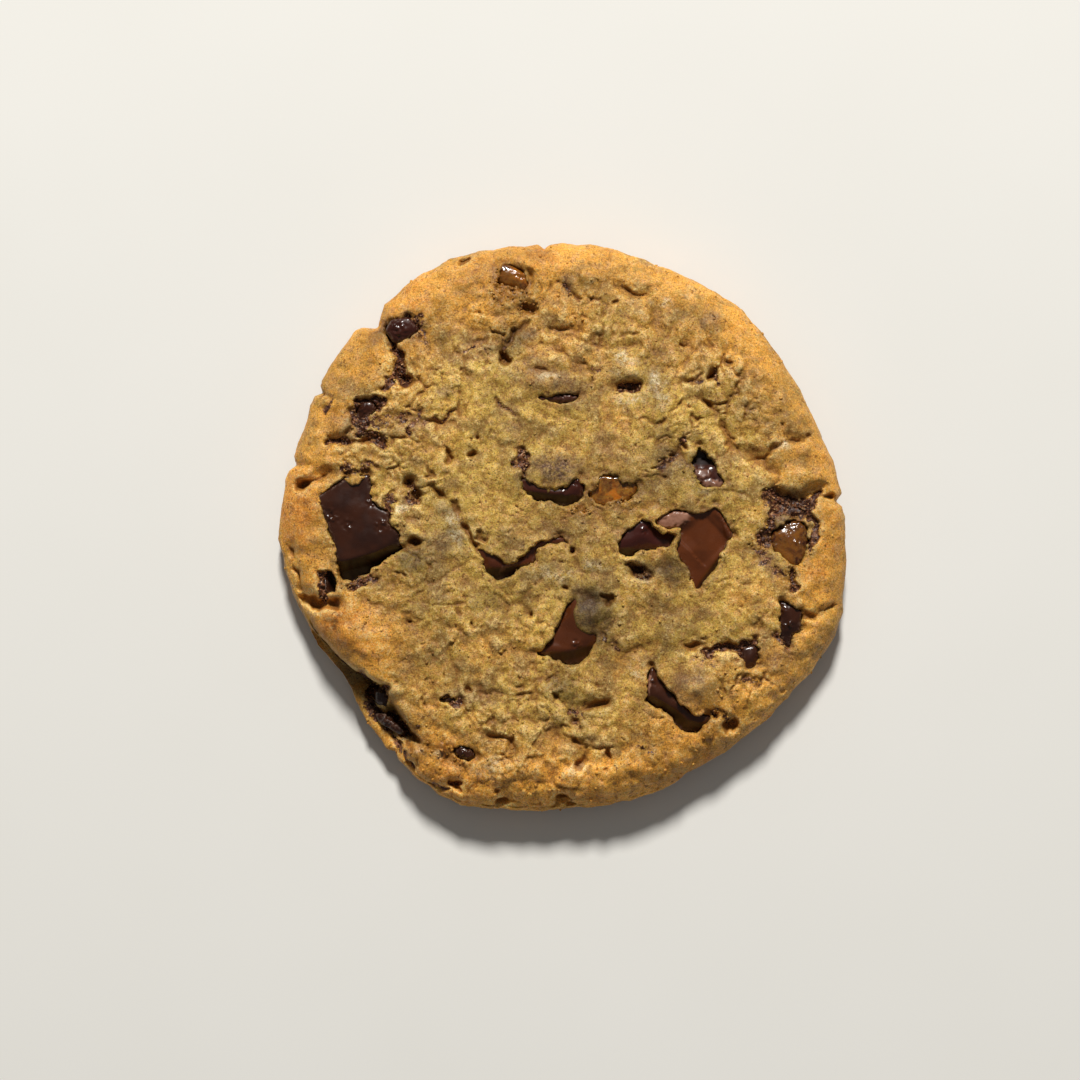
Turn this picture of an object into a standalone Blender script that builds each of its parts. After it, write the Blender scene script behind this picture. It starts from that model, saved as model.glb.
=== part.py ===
# Chocolate chunk cookie with bits of caramel, lying on its flat base.
# Metres, +Z up, origin at the centre of the base. Lists of places are in millimetres.

import math

import bmesh
import bpy
import numpy as np
from mathutils import noise
from mathutils.geometry import delaunay_2d_cdt

MM = 0.001
ROUNDING_ERROR = 1e-6

# Driving dimensions of the dough, in millimetres
OUTLINE_RADIUS = 45.0
CENTRE_HEIGHT = 10.4
SHOULDER_HEIGHT = 8.7
WAIST_HEIGHT = 3.7  # where the side is widest
SHOULDER_ROLL = 5.6  # width of the rounding from the top to the side
BASE_TUCK = 2.6  # the flat base stays this far inside the widest line
LEDGE_HEIGHT = 4.6  # the lower layer that shows outside the fold
FOLD_RECESS = 2.4  # how far the gap under the fold goes below the ledge
FOLD_DROP = 0.9  # width of the slope from the fold's edge down to the ledge
RECESS_OFFSET = 1.2  # the gap is deepest this far outside the fold's edge
RECESS_WIDTH = 1.1

# Relief of the crust, in millimetres
SWELL_SIZE, SWELL_HEIGHT = 11.0, 0.45
LUMP_SIZE, LUMP_HEIGHT = 4.6, 0.5
CRUMB_SIZE, CRUMB_HEIGHT = 3.1, 0.75
SIDE_ROUGHNESS = 0.45
RAGGED_SIZE, RAGGED_REACH = 2.4, 0.45  # how cracks and pits wander
CRACK_SHARPNESS, PIT_SHARPNESS = 2.0, 0.7

# Each use of the noise takes its own layer of it
SWELL_LAYER, LUMP_LAYER, CRUMB_LAYER = 1.7, 5.2, 8.4
RAGGED_X_LAYER, RAGGED_Y_LAYER = 11.5, 14.1
LEDGE_LAYER, SIDE_LAYER = 3.3, 20.0

# Mesh and fits
GRID_CELLS = 176
DOUGH_SHARE_KEPT = 0.15  # of the grid's triangles, after flat places are thinned out
POCKET_GAP = 0.3
POCKET_TOP = 16.0
CHUNK_EDGE = 0.28  # width of the softened edges of chocolate
CARAMEL_EDGE = 0.5
SOFTENED_ANGLE = 25  # edges that turn more than this many degrees are softened
SHARP_ANGLE = 50  # and those that turn more than this are shaded sharp

DOUGH_COLOUR = (0.46, 0.27, 0.085)
CHOCOLATE_COLOUR = (0.045, 0.014, 0.008)
CARAMEL_COLOUR = (0.28, 0.10, 0.012)

# Outline: direction in degrees, half width in degrees, swell in millimetres
OUTLINE_LOBES = (
    (28, 17, -1.4),
    (68, 8, -0.5),
    (88, 9, 0.5),
    (140, 7, 0.7),
    (161, 7, -0.5),
    (180, 6, 0.6),
    (198, 6, -0.9),
    (214, 10.5, -2.7),
    (247, 12, 2.3),
    (304, 14, -0.9),
    (340, 12, 1.7),
)
OUTLINE_NOTCHES = (
    (5.5, 0.8, -0.9),
    (94, 0.7, -0.7),
    (133, 1.8, -1.5),
    (150.8, 0.8, -0.9),
    (166.8, 1.0, -0.8),
    (233, 1.0, -0.6),
    (324.5, 1.2, -0.3),
)
UPPER_LEFT_LOBE = (115, 13, 1.6)
LOBE_END = (128.5, 130.5)  # that lobe stops short between these directions

# Mounds and hollows: x, y, half length, half width, turn in degrees, rise
MOUNDS = (
    (-32, -17.5, 8.0, 4.6, -42, 1.3),
    (-1, 22.9, 5.0, 2.6, 2, 1.1),
    (-2, 9.6, 4.4, 2.4, -6, 0.9),
    (21.2, -25.8, 3.6, 2.8, 25, 1.1),
    (2.5, -25.4, 4.6, 2.2, 0, 0.9),
    (14, 22.5, 7.0, 4.6, 10, 0.8),
    (-14, 22, 6.0, 5.0, 30, 0.6),
    (-16, -17, 6.0, 5.0, 0, 0.5),
    (30, 21, 6.0, 4.0, -45, 0.6),
    (-42, -1, 7.0, 2.0, 90, 0.5),
    (-20, 37.5, 8.0, 3.2, 28, 0.6),
    (41, 12, 7.0, 2.4, -75, 0.6),
    (40.5, -8, 7.0, 2.2, 80, 0.4),
    (-7, -38.5, 6.5, 2.6, -10, 0.6),
    (10, -39, 6.0, 2.4, 12, 0.5),
    (18.5, 6.5, 3.4, 2.0, -20, 0.5),
    (7, 5.5, 4.8, 2.6, -5, -0.8),
    (35.8, 0.5, 3.6, 4.2, 0, -1.3),
    (-24, 5.2, 2.4, 3.6, 0, -0.9),
    (-20.5, -35.2, 4.6, 2.0, -25, -0.8),
    (-9, 38.5, 3.2, 3.4, 0, -0.7),
    (-34, 18.2, 3.0, 2.6, 0, -0.5),
)

# Cracks: width, depth, and the points that they run through
CRACKS = (
    (1.5, 1.3, ((22.7, 20), (24.7, 16.5), (27, 12.5), (31.8, 10.3), (33.8, 8), (33.5, 6))),
    (1.3, 2.0, ((34.5, 5.3), (37, 4.6), (41, 6.3), (42, 5))),
    (1.1, 0.9, ((34, 15.7), (36, 13.7), (38.7, 14.2))),
    (1.0, 1.0, ((38, -14), (40.5, -14.2), (42.5, -12.6))),
    (1.1, 1.1, ((19, -18.8), (24, -18.7), (28, -19), (31, -16))),
    (1.5, 2.0, ((-41, -11.2), (-39, -12.2), (-36, -12.2))),
    (1.0, 0.9, ((-43.2, -3), (-42.4, -7), (-41.5, -10))),
    (1.7, 1.8, ((-27.5, 29), (-26.4, 26.8), (-26, 24.5), (-25, 23.2))),
    (1.0, 1.1, ((-33, 15.5), (-34.5, 14), (-37, 13.7))),
    (1.1, 1.1, ((-34, 13), (-31, 14), (-28.4, 13))),
    (1.3, 1.6, ((-41.2, 6.4), (-39.6, 7.2), (-37.4, 8.6))),
    (0.9, 0.9, ((-1, 28), (1, 27), (3, 25.5))),
    (0.9, 0.8, ((-4.5, 25), (-1, 24.7), (4, 24.5))),
    (1.0, 1.1, ((-20.5, 6), (-18, 4), (-15.6, 0.4))),
    (1.0, 0.9, ((8.3, 38), (11, 36.5), (13.5, 37))),
    (0.9, 0.8, ((-2, 31), (0, 31.5), (3, 30.8))),
    (0.9, 0.7, ((6, 28.6), (11.5, 28.5))),
    (1.1, 1.3, ((-6.5, 32), (-8, 30), (-10, 28.3))),
    (0.9, 0.8, ((-20, 16.3), (-18, 17.7), (-15.5, 18))),
    (1.1, 1.1, ((-13, -32.5), (-8.3, -34))),
    (1.1, 1.1, ((-1, -26.8), (1, -28), (3.2, -28.4), (7, -27.6))),
    (1.0, 0.8, ((-13, -26.3), (-10, -26.2), (-5, -26.5))),
    (1.1, 1.1, ((1.5, -34), (3.5, -34.5), (2.3, -38.2))),
    (0.9, 0.8, ((10, -20), (14.5, -18.8))),
    (0.9, 0.8, ((12.5, 8), (15, 7.5))),
)

# Pits: x, y, half length, half width, turn in degrees, depth
PITS = (
    (10.2, 22.2, 2.6, 0.8, 2, 2.0),
    (23.4, 23.8, 1.1, 0.8, 70, 1.8),
    (-6, 34.5, 1.6, 1.1, 0, 1.8),
    (-9.3, 26.7, 1.1, 1.0, 0, 1.4),
    (-16, 42.1, 1.3, 0.8, 20, 1.2),
    (-17.8, 10.8, 1.2, 0.7, 80, 1.2),
    (-14.2, 11.2, 0.9, 0.7, 0, 1.0),
    (-24.7, 7.2, 1.2, 0.9, 30, 1.6),
    (-23.3, 4.9, 1.1, 0.9, 60, 1.6),
    (-23.5, -2.7, 1.2, 1.0, 0, 1.8),
    (-24.5, -14.8, 0.9, 0.8, 0, 1.0),
    (-5.7, -13.7, 0.9, 0.8, 0, 1.0),
    (0.6, -9.4, 0.8, 0.7, 0, 1.0),
    (1.7, -5.2, 0.9, 0.7, 0, 1.0),
    (11.5, -6.9, 1.4, 1.0, 10, 1.6),
    (-15.2, -25.5, 0.9, 0.7, 0, 1.0),
    (6.9, -36.8, 0.8, 1.3, 0, 1.2),
    (26.5, -31.5, 1.1, 1.0, 0, 1.4),
    (-24.0, -33.8, 1.3, 0.9, -30, 1.6),
    (-24.3, -38.0, 1.0, 0.9, 0, 1.2),
    (-17.2, -40.8, 1.2, 0.8, -20, 1.4),
    (-9.8, -43.4, 1.5, 0.8, 0, 1.6),
    (-0.5, -43.2, 1.2, 0.9, 0, 1.5),
    (18.0, 11.6, 1.3, 0.7, -50, 1.3),
    (26.0, 26.0, 0.8, 0.7, 0, 0.9),
    (19.2, 29.3, 0.8, 0.7, 0, 0.9),
)

# Lower left, the top layer folds over a lower one: its edge, from the left rim to the bottom
FOLD_EDGE = (
    (-43.5, -11.5), (-41, -14.6), (-38.7, -17), (-35, -21.2),
    (-32, -23.2), (-28, -25.2), (-26.8, -28.2), (-24, -32.2),
)
OUTSIDE_FOLD = ((-17, -48), (-60, -48), (-60, -11.5))  # closes the region outside that edge
FOLD_MIDDLE = (-34, -24)
FOLD_REACH = (11.0, 16.0)  # the fold fades out between these distances from its middle

# Each piece: outline and crown as x, y and the depth below the smooth crust, then its thickness
PIECES = {
    "chunk_left": {
        "outline": (
            (-39.2, 5, 0.5), (-36.4, -3, 0.6), (-35.5, -8.6, 1.7), (-33.5, -8.9, 2.2),
            (-29, -6.1, 2.2), (-25.6, -3.7, 1.9), (-25.9, -1, 0.6), (-27.6, 0.6, 0.5),
            (-27.5, 2.3, 0.6), (-29.8, 3.5, 0.6), (-30.8, 8.5, 0.9), (-34.2, 8, 0.8),
        ),
        "crown": ((-34.6, -5.9, 0.5), (-30.2, -3.9, 0.3), (-27.4, -2.4, 0.4), (-33, 2, 0.3)),
        "thickness": 4.6,
    },
    "chunk_left_small": {
        "outline": (
            (-37.8, -6.4, 0.9), (-37.9, -10.4, 1.2), (-36, -10.7, 1.2), (-35.9, -9.4, 1),
            (-36.6, -6.6, 0.9),
        ),
        "crown": ((-37, -8.4, 0.6),),
        "thickness": 2.6,
    },
    "chunk_right": {
        "outline": (
            (14.3, 0.8, 0.5), (15.5, -0.2, 0.7), (17, -0.3, 0.8), (18.6, -0.4, 1.3),
            (17.7, -2.5, 1.2), (17.5, -4, 1.1), (19.7, -7, 1.5), (20.4, -10.3, 1.9),
            (22, -10, 1.8), (24.4, -6.5, 1.5), (25.4, -3.6, 1.3), (26.9, -1.3, 0.7),
            (25, 1.9, 0.4), (23.8, 3.8, 0.8), (22.6, 2.6, 1.1), (20, 2.4, 0.6),
            (17.5, 2.8, 0.4), (15.5, 2, 0.4),
        ),
        "crown": (
            (19.2, 1, 0.5), (20.6, 0.8, 0.6), (24, 1, 1.3), (25.2, -1, 1.3),
            (26, -1.2, 0.3), (22, -3.5, 0.7),
        ),
        "thickness": 4.4,
    },
    "chunk_right_small": {
        "outline": (
            (8.3, -2.5, 0.7), (8.3, -4, 1.2), (9.5, -4.7, 1.4), (11, -4.5, 1.4),
            (13, -3.7, 1.5), (15, -3.4, 1.6), (17.1, -3.4, 1.7), (17.3, -2.5, 1.9),
            (18, -1, 2.2), (17, -0.75, 2.2), (15.6, -0.65, 2), (14.2, 0.3, 1.4),
            (13.3, 1, 0.8), (12, 1.2, 0.7), (10, -0.3, 0.6),
        ),
        "crown": ((10, -2.4, 0.3), (12.4, -1.3, 0.4), (14.6, -2.4, 1.1)),
        "thickness": 3.4,
    },
    "chunk_smile": {
        "outline": (
            (-7, 7.8, 0.8), (-6.5, 5.5, 0.9), (-5, 4.3, 1), (-3, 4, 1.1), (0, 3.3, 1.1),
            (1.6, 3.4, 1.1), (3, 4.5, 0.9), (3.3, 6.5, 0.7), (2.5, 8, 0.7), (1, 7.5, 0.8),
            (0.3, 6.5, 0.9), (-1.5, 6.2, 0.9), (-3.5, 6.7, 0.8), (-5, 7.3, 0.7),
            (-6.3, 8, 0.7),
        ),
        "crown": ((-5.2, 5.7, 0.3), (-2.4, 5.1, 0.4), (0.4, 4.9, 0.4), (1.9, 6.2, 0.2)),
        "thickness": 3.2,
    },
    "chunk_vee": {
        "outline": (
            (-14, -3.2, 0.8), (-13, -6, 1.2), (-11.5, -8.3, 1.6), (-9.5, -8.5, 1.6),
            (-7, -6.8, 1.3), (-4.5, -5.5, 1), (-4.2, -3.6, 0.8), (-2, -2.9, 0.8),
            (0, -2.7, 0.8), (1.1, -4.1, 1.1), (1.9, -3.8, 1.1), (1.1, -2, 0.7),
            (-0.6, -1.4, 0.5), (-2.6, -1.7, 0.5), (-4.6, -2.6, 0.6), (-6.6, -4.6, 0.9),
            (-8.5, -5.8, 1.3), (-10, -4.3, 1), (-12, -3.3, 0.7),
        ),
        "crown": ((-11.4, -5.6, 0.5), (-6.6, -5.6, 0.5), (-1.6, -2.2, 0.3)),
        "thickness": 3.0,
    },
    "chunk_lower": {
        "outline": (
            (-4.4, -20, 1.5), (1, -22, 1.9), (3, -21.5, 1.7), (4.4, -20, 1.3),
            (5.3, -18, 0.9), (7, -12.1, 0.9), (1.4, -10.5, 1), (-1, -15.5, 1.2),
            (-2, -17.6, 1.2),
        ),
        "crown": (
            (-1.6, -19.2, 0.7), (1.2, -19.4, 0.6), (1.4, -13.6, 0.3), (4.4, -14, -0.3),
            (3.6, -17.4, 0.1),
        ),
        "thickness": 4.6,
    },
    "chunk_lower_right": {
        "outline": (
            (13.8, -22, 0.7), (13.3, -24.4, 0.7), (12.8, -27, 1.2), (14, -28.3, 1.5),
            (16.8, -29.9, 1.6), (17.4, -31.5, 1.6), (18.6, -32.5, 1.6), (21.4, -32.6, 1.5),
            (22.6, -31.2, 1.3), (23.6, -29.9, 1.2), (20.2, -29.2, 1.2), (18.6, -27.9, 1.2),
            (16.2, -25, 1.1), (14.4, -22.4, 0.9),
        ),
        "crown": ((14.6, -26.2, 0.4), (17.2, -28.4, 0.7), (19.6, -30.8, 0.8)),
        "thickness": 4.2,
    },
    "chunk_right_edge": {
        "outline": (
            (34, -11.6, 0.9), (33.9, -14.4, 1), (34.1, -17, 1.1), (35.3, -19.2, 1.2),
            (36.1, -19, 1.2), (36.2, -17, 1), (37.6, -16.6, 0.9), (37.8, -13.1, 0.8),
            (36, -12, 0.8),
        ),
        "crown": ((35, -13.2, 0.3), (36.4, -15.2, 0.2), (35.2, -16.2, 0.4)),
        "thickness": 2.8,
    },
    "chunk_right_fold": {
        "outline": (
            (28.1, -19, 1.2), (28, -22.2, 1.4), (29, -22.9, 1.4), (30.8, -22, 1.3),
            (31.1, -19.2, 1.1), (30.2, -18.6, 1.1),
        ),
        "crown": ((29.4, -20.6, 0.6),),
        "thickness": 3.0,
    },
    "chunk_upper_right": {
        "outline": (
            (21.4, 12.8, 0.8), (20.1, 9.8, 1), (20.9, 7.7, 0.8), (22.2, 6.1, 0.6),
            (24.5, 5.9, 0.6), (25.7, 7.2, 0.7), (23.4, 10.7, 1.1),
        ),
        "crown": ((22.9, 7.6, 0.3), (21.8, 9.8, 1.4)),
        "thickness": 3.2,
    },
    "chunk_top": {
        "outline": (
            (-4.4, 20.3, 1.1), (-2, 19.3, 1.2), (1.9, 19.8, 1.2), (2.4, 20.9, 1),
            (-2, 20.9, 0.9), (-4, 20.9, 0.9),
        ),
        "crown": ((-1.6, 20.2, 0.7),),
        "thickness": 2.4,
    },
    "chunk_upper_left": {
        "outline": (
            (-28.4, 31.2, 0.8), (-27, 29.2, 1), (-24.6, 29.6, 1), (-22.8, 31.4, 0.9),
            (-24.4, 33.2, 0.8), (-27.4, 33, 0.8),
        ),
        "crown": ((-26.4, 31.4, 0.3), (-24.6, 31.6, 0.4)),
        "thickness": 3.0,
    },
    "chunk_left_upper": {
        "outline": (
            (-33, 18.2, 0.9), (-32.6, 16.4, 1), (-31, 17.3, 1.1), (-29.4, 18.8, 1.1),
            (-30.4, 20, 1), (-32.4, 20, 0.9),
        ),
        "crown": ((-31.6, 18.4, 0.4),),
        "thickness": 2.8,
    },
    "chunk_under_fold": {
        "outline": (
            (-30, -26, 4), (-30.2, -28, 4.1), (-28.3, -29, 4.1), (-27.5, -27.6, 3.8),
            (-28.2, -26, 3.6),
        ),
        "crown": ((-28.9, -27.2, 3.2),),
        "thickness": 1.8,
    },
    "chunk_under_fold_low": {
        "outline": (
            (-30.2, -29.7, 4.2), (-29.6, -31.2, 4.1), (-26, -33.2, 3.2),
            (-25.2, -32.4, 2.8), (-27.4, -30.8, 3.2), (-28.6, -29.8, 3.6),
        ),
        "crown": ((-28.2, -30.9, 3),),
        "thickness": 1.6,
    },
    "chunk_lower_left": {
        "outline": (
            (-17.8, -35, 0.9), (-17, -36.4, 1), (-15, -37.1, 1), (-13.9, -36.4, 0.9),
            (-14.6, -35, 0.8), (-16.4, -34.5, 0.8),
        ),
        "crown": ((-16.4, -35.4, 0.1), (-15.2, -35.9, 0.1)),
        "thickness": 2.6,
    },
    "chunk_sliver": {
        "outline": (
            (-20, -27.2, 0.8), (-18.2, -27.9, 0.9), (-16.2, -27.4, 0.8),
            (-17.8, -26.7, 0.7),
        ),
        "crown": ((-18.1, -27.3, 0.4),),
        "thickness": 1.8,
    },
    "caramel_right": {
        "outline": (
            (32.8, -1, 0.8), (32.8, -3.4, 0.8), (34.5, -4.9, 0.8), (36.2, -6.3, 0.6),
            (37.3, -6.2, 0.5), (38.4, -4.4, 0.7), (38.9, -2, 0.7), (38.5, 0.4, 0.6),
            (36.8, 1.3, 0.6), (34.5, 1, 0.6),
        ),
        "crown": ((35.4, -1.4, -0.4), (36.6, -3, -0.3)),
        "thickness": 3.4,
    },
    "caramel_top": {
        "outline": (
            (-10.4, 42, 0.8), (-11.1, 39, 0.8), (-10, 38.1, 0.8), (-8, 37.8, 0.8),
            (-6.3, 36.9, 0.9), (-5.5, 38, 0.7), (-5.6, 40.3, 0.6), (-8.5, 41.7, 0.6),
        ),
        "crown": ((-9.2, 40, 0), (-7, 39.2, 0)),
        "thickness": 2.8,
    },
    "caramel_centre": {
        "outline": (
            (4, 7.6, 0.4), (3.9, 4.5, 0.5), (5.5, 3.3, 0.5), (8, 3.4, 0.5), (10, 4.1, 0.4),
            (11.4, 5, 0.4), (11.8, 7, 0.4), (10, 8.1, 0.3), (6, 8.4, 0.3),
        ),
        "crown": ((6.4, 5.8, -0.1), (9.4, 6, -0.1)),
        "thickness": 2.6,
    },
}


def clear_scene():
    for item in list(bpy.data.objects):
        bpy.data.objects.remove(item, do_unlink=True)


def make_material(name, colour, roughness):
    made = bpy.data.materials.new(name)
    made.use_nodes = True
    shader = made.node_tree.nodes["Principled BSDF"]
    shader.inputs["Base Color"].default_value = (*colour, 1.0)
    shader.inputs["Roughness"].default_value = roughness
    shader.inputs["Metallic"].default_value = 0.0
    made.diffuse_color = (*colour, 1.0)
    return made


def dough_material():
    return make_material("dough", DOUGH_COLOUR, 0.75)


def chocolate_material():
    return make_material("chocolate", CHOCOLATE_COLOUR, 0.3)


def caramel_material():
    return make_material("caramel", CARAMEL_COLOUR, 0.22)


def noise_at(x, y, size, layer):
    """Smooth noise from -1 to 1 at each place, with bumps of the given size."""
    values = [noise.noise((a / size, b / size, layer)) for a, b in zip(x.flat, y.flat)]
    return np.array(values).reshape(x.shape)


def crumbs_at(x, y, size, layer):
    """Rounded crumbs from 0 to 1 with creases between them."""
    values = []
    for a, b in zip(x.flat, y.flat):
        near = noise.voronoi((a / size, b / size, layer))[0]
        values.append(min(1.0, 1.8 * (near[1] - near[0])))
    return np.array(values).reshape(x.shape)


def smooth_step(low, high, value):
    share = np.clip((value - low) / (high - low), 0.0, 1.0)
    return share * share * (3.0 - 2.0 * share)


def angle_between(degrees, other):
    return (degrees - other + 180.0) % 360.0 - 180.0


def bump_round_edge(degrees, bump):
    """A swell or a notch of the outline, by direction."""
    direction, width, swell = bump
    return swell * np.exp(-((angle_between(degrees, direction) / width) ** 2))


def outline_radius(angle):
    """Distance from the centre to the widest line, by direction."""
    degrees = np.degrees(angle) % 360.0
    radius = np.full_like(degrees, OUTLINE_RADIUS)
    for bump in OUTLINE_LOBES + OUTLINE_NOTCHES:
        radius += bump_round_edge(degrees, bump)
    before_end = 1.0 - smooth_step(*LOBE_END, degrees)
    return radius + before_end * bump_round_edge(degrees, UPPER_LEFT_LOBE)


def distance_to_line(x, y, points):
    nearest = np.full(x.shape, np.inf)
    for (ax, ay), (bx, by) in zip(points, points[1:]):
        length_squared = (bx - ax) ** 2 + (by - ay) ** 2
        along = ((x - ax) * (bx - ax) + (y - ay) * (by - ay)) / length_squared
        along = np.clip(along, 0.0, 1.0)
        away_x = x - ax - along * (bx - ax)
        away_y = y - ay - along * (by - ay)
        nearest = np.minimum(nearest, np.hypot(away_x, away_y))
    return nearest


def ellipse_distance(x, y, place):
    """0 at the middle of an ellipse and 1 on it."""
    centre_x, centre_y, half_length, half_width, turn = place
    cos, sin = math.cos(math.radians(turn)), math.sin(math.radians(turn))
    along = (x - centre_x) * cos + (y - centre_y) * sin
    across = (y - centre_y) * cos - (x - centre_x) * sin
    return np.hypot(along / half_length, across / half_width)


def inside_polygon(x, y, points):
    """True for places inside a closed outline, by counting the edges to their right."""
    inside = np.zeros(x.shape, bool)
    for (ax, ay), (bx, by) in zip(points, points[1:] + points[:1]):
        if ay == by:
            continue
        crosses = (ay > y) != (by > y)
        inside ^= crosses & (x < ax + (y - ay) * (bx - ax) / (by - ay))
    return inside


def outside_fold(x, y):
    """Distance outside the fold's edge in millimetres, negative inside it."""
    distance = distance_to_line(x, y, FOLD_EDGE)
    return np.where(inside_polygon(x, y, FOLD_EDGE + OUTSIDE_FOLD), distance, -distance)


def crust_height(x, y):
    """Height of the smooth crust: dome and mounds, with no cracks."""
    share = np.hypot(x, y) / outline_radius(np.arctan2(y, x))
    height = CENTRE_HEIGHT - (CENTRE_HEIGHT - SHOULDER_HEIGHT) * np.clip(share, 0.0, 1.2) ** 3
    for *place, rise in MOUNDS:
        height = height + rise * np.exp(-ellipse_distance(x, y, place) ** 2)
    return height


def relief(x, y):
    """Lumps, crumbs, cracks and pits, added to the smooth crust."""
    height = SWELL_HEIGHT * noise_at(x, y, SWELL_SIZE, SWELL_LAYER)
    height += LUMP_HEIGHT * noise_at(x, y, LUMP_SIZE, LUMP_LAYER)
    height += CRUMB_HEIGHT * (crumbs_at(x, y, CRUMB_SIZE, CRUMB_LAYER) - 0.5)
    ragged_x = x + RAGGED_REACH * noise_at(x, y, RAGGED_SIZE, RAGGED_X_LAYER)
    ragged_y = y + RAGGED_REACH * noise_at(x, y, RAGGED_SIZE, RAGGED_Y_LAYER)
    for width, depth, points in CRACKS:
        share = distance_to_line(ragged_x, ragged_y, points) / width
        height -= depth * np.exp(-CRACK_SHARPNESS * share**2)
    for *place, depth in PITS:
        share = ellipse_distance(ragged_x, ragged_y, place)
        height -= depth * np.exp(-PIT_SHARPNESS * share**4)
    return height


def fold_down(x, y, height):
    """Lowers the crust outside the fold to the ledge, with a gap at its foot."""
    outside = outside_fold(x, y)
    lowered = smooth_step(0.0, FOLD_DROP, outside)
    gap = FOLD_RECESS * np.exp(-(((outside - RECESS_OFFSET) / RECESS_WIDTH) ** 2))
    ledge = LEDGE_HEIGHT + LUMP_HEIGHT * noise_at(x, y, LUMP_SIZE, LEDGE_LAYER) - gap
    from_middle = np.hypot(x - FOLD_MIDDLE[0], y - FOLD_MIDDLE[1])
    reach = 1.0 - smooth_step(*FOLD_REACH, from_middle)
    return height + (np.minimum(ledge, height) - height) * lowered * reach


def grid_over_disc(cells):
    """A square grid pulled round: each point's share of the way out, and its direction."""
    side = np.linspace(-1.0, 1.0, cells + 1)
    u, v = np.meshgrid(side, side)
    out = np.maximum(abs(u), abs(v))
    wide = abs(u) >= abs(v)
    safe_u = np.where(u == 0, 1.0, u)
    safe_v = np.where(v == 0, 1.0, v)
    direction = np.where(wide, math.pi / 4 * v / safe_u, math.pi / 2 - math.pi / 4 * u / safe_v)
    direction += np.where(np.where(wide, u, v) < 0, math.pi, 0.0)
    return out, direction


def follow_profile(out):
    """From the centre to the foot: radius share, lift above the waist, which side of it, height."""
    roll_length = math.pi / 4 * (SHOULDER_ROLL + SHOULDER_HEIGHT - WAIST_HEIGHT)
    tuck_length = math.pi / 4 * (BASE_TUCK + WAIST_HEIGHT)
    top_length = OUTLINE_RADIUS - SHOULDER_ROLL
    travelled = out * (top_length + roll_length + tuck_length)
    roll = np.clip((travelled - top_length) / roll_length, 0.0, 1.0) * math.pi / 2
    tuck = np.clip((travelled - top_length - roll_length) / tuck_length, 0.0, 1.0) * math.pi / 2
    top = np.minimum(travelled, top_length)
    radius = top + SHOULDER_ROLL * np.sin(roll) - BASE_TUCK * (1.0 - np.cos(tuck))
    lift = np.cos(roll)
    side_height = WAIST_HEIGHT * (1.0 - np.sin(tuck))
    return radius / OUTLINE_RADIUS, lift, lift < ROUNDING_ERROR, side_height


def dough_points():
    """Grid points of the whole outer surface but the flat base, in millimetres."""
    out, direction = grid_over_disc(GRID_CELLS)
    share, lift, below_waist, side_height = follow_profile(out)
    radius = share * outline_radius(direction)
    x, y = radius * np.cos(direction), radius * np.sin(direction)
    roughness = SIDE_ROUGHNESS * (1.0 - lift)
    rough = 1.0 + roughness * noise_at(x + side_height, y, CRUMB_SIZE, SIDE_LAYER) / OUTLINE_RADIUS
    at_foot = out > 1.0 - ROUNDING_ERROR
    rough = np.where(at_foot, 1.0, rough)
    x, y = x * rough, y * rough
    top = fold_down(x, y, crust_height(x, y) + relief(x, y))
    above = WAIST_HEIGHT + (top - WAIST_HEIGHT) * lift
    z = np.where(below_waist, side_height, above)
    return np.stack([x, y, np.where(at_foot, 0.0, z)], axis=-1)


def grid_border(cells):
    """Grid positions round the edge, in order."""
    ahead = range(cells)
    back = range(cells, 0, -1)
    out = [(0, i) for i in ahead] + [(i, cells) for i in ahead]
    return out + [(cells, i) for i in back] + [(i, 0) for i in back]


def mesh_object(name, points, faces, material):
    """An object from points in millimetres, with its faces pointing out."""
    data = bpy.data.meshes.new(name)
    data.from_pydata([tuple(value * MM for value in point) for point in points], [], faces)
    work = bmesh.new()
    work.from_mesh(data)
    bmesh.ops.recalc_face_normals(work, faces=work.faces)
    work.to_mesh(data)
    work.free()
    made = bpy.data.objects.new(name, data)
    bpy.context.scene.collection.objects.link(made)
    if material:
        data.materials.append(material)
    return made


def shade(item):
    item.data.shade_smooth()
    item.data.set_sharp_from_angle(angle=math.radians(SHARP_ANGLE))


def make_dough(material):
    across = GRID_CELLS + 1
    points = dough_points().reshape(-1, 3)
    corners = [row * across + col for row in range(GRID_CELLS) for col in range(GRID_CELLS)]
    faces = [(first, first + 1, first + across + 1, first + across) for first in corners]
    faces.append([row * across + col for row, col in grid_border(GRID_CELLS)])
    dough = mesh_object("dough", points.tolist(), faces, material)
    thin = dough.modifiers.new("thin_out", "DECIMATE")
    thin.ratio = DOUGH_SHARE_KEPT
    shade(dough)
    return dough


def runs_anticlockwise(outline):
    """True where the outline runs anticlockwise."""
    turned = zip(outline, outline[1:] + outline[:1])
    return sum(a[0] * b[1] - b[0] * a[1] for a, b in turned) > 0


def grow_outline(outline, gap):
    """The outline moved outwards by the gap, all round."""
    facing = 1.0 if runs_anticlockwise(outline) else -1.0
    grown = []
    for before, here, after in zip(outline[-1:] + outline[:-1], outline, outline[1:] + outline[:1]):
        one = np.subtract(here[:2], before[:2])
        two = np.subtract(after[:2], here[:2])
        one, two = one / np.linalg.norm(one), two / np.linalg.norm(two)
        middle = np.array([one[1] + two[1], -one[0] - two[0]])
        middle /= np.linalg.norm(middle)
        stretch = max(0.5, middle[0] * one[1] - middle[1] * one[0])
        grown.append(np.array(here[:2]) + facing * gap / stretch * middle)
    return grown


def surface_points(places):
    """Places at their depth below the smooth crust, as x, y, z."""
    x, y, below = np.array(places, float).T
    return np.stack([x, y, crust_height(x, y) - below], axis=-1).tolist()


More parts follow.
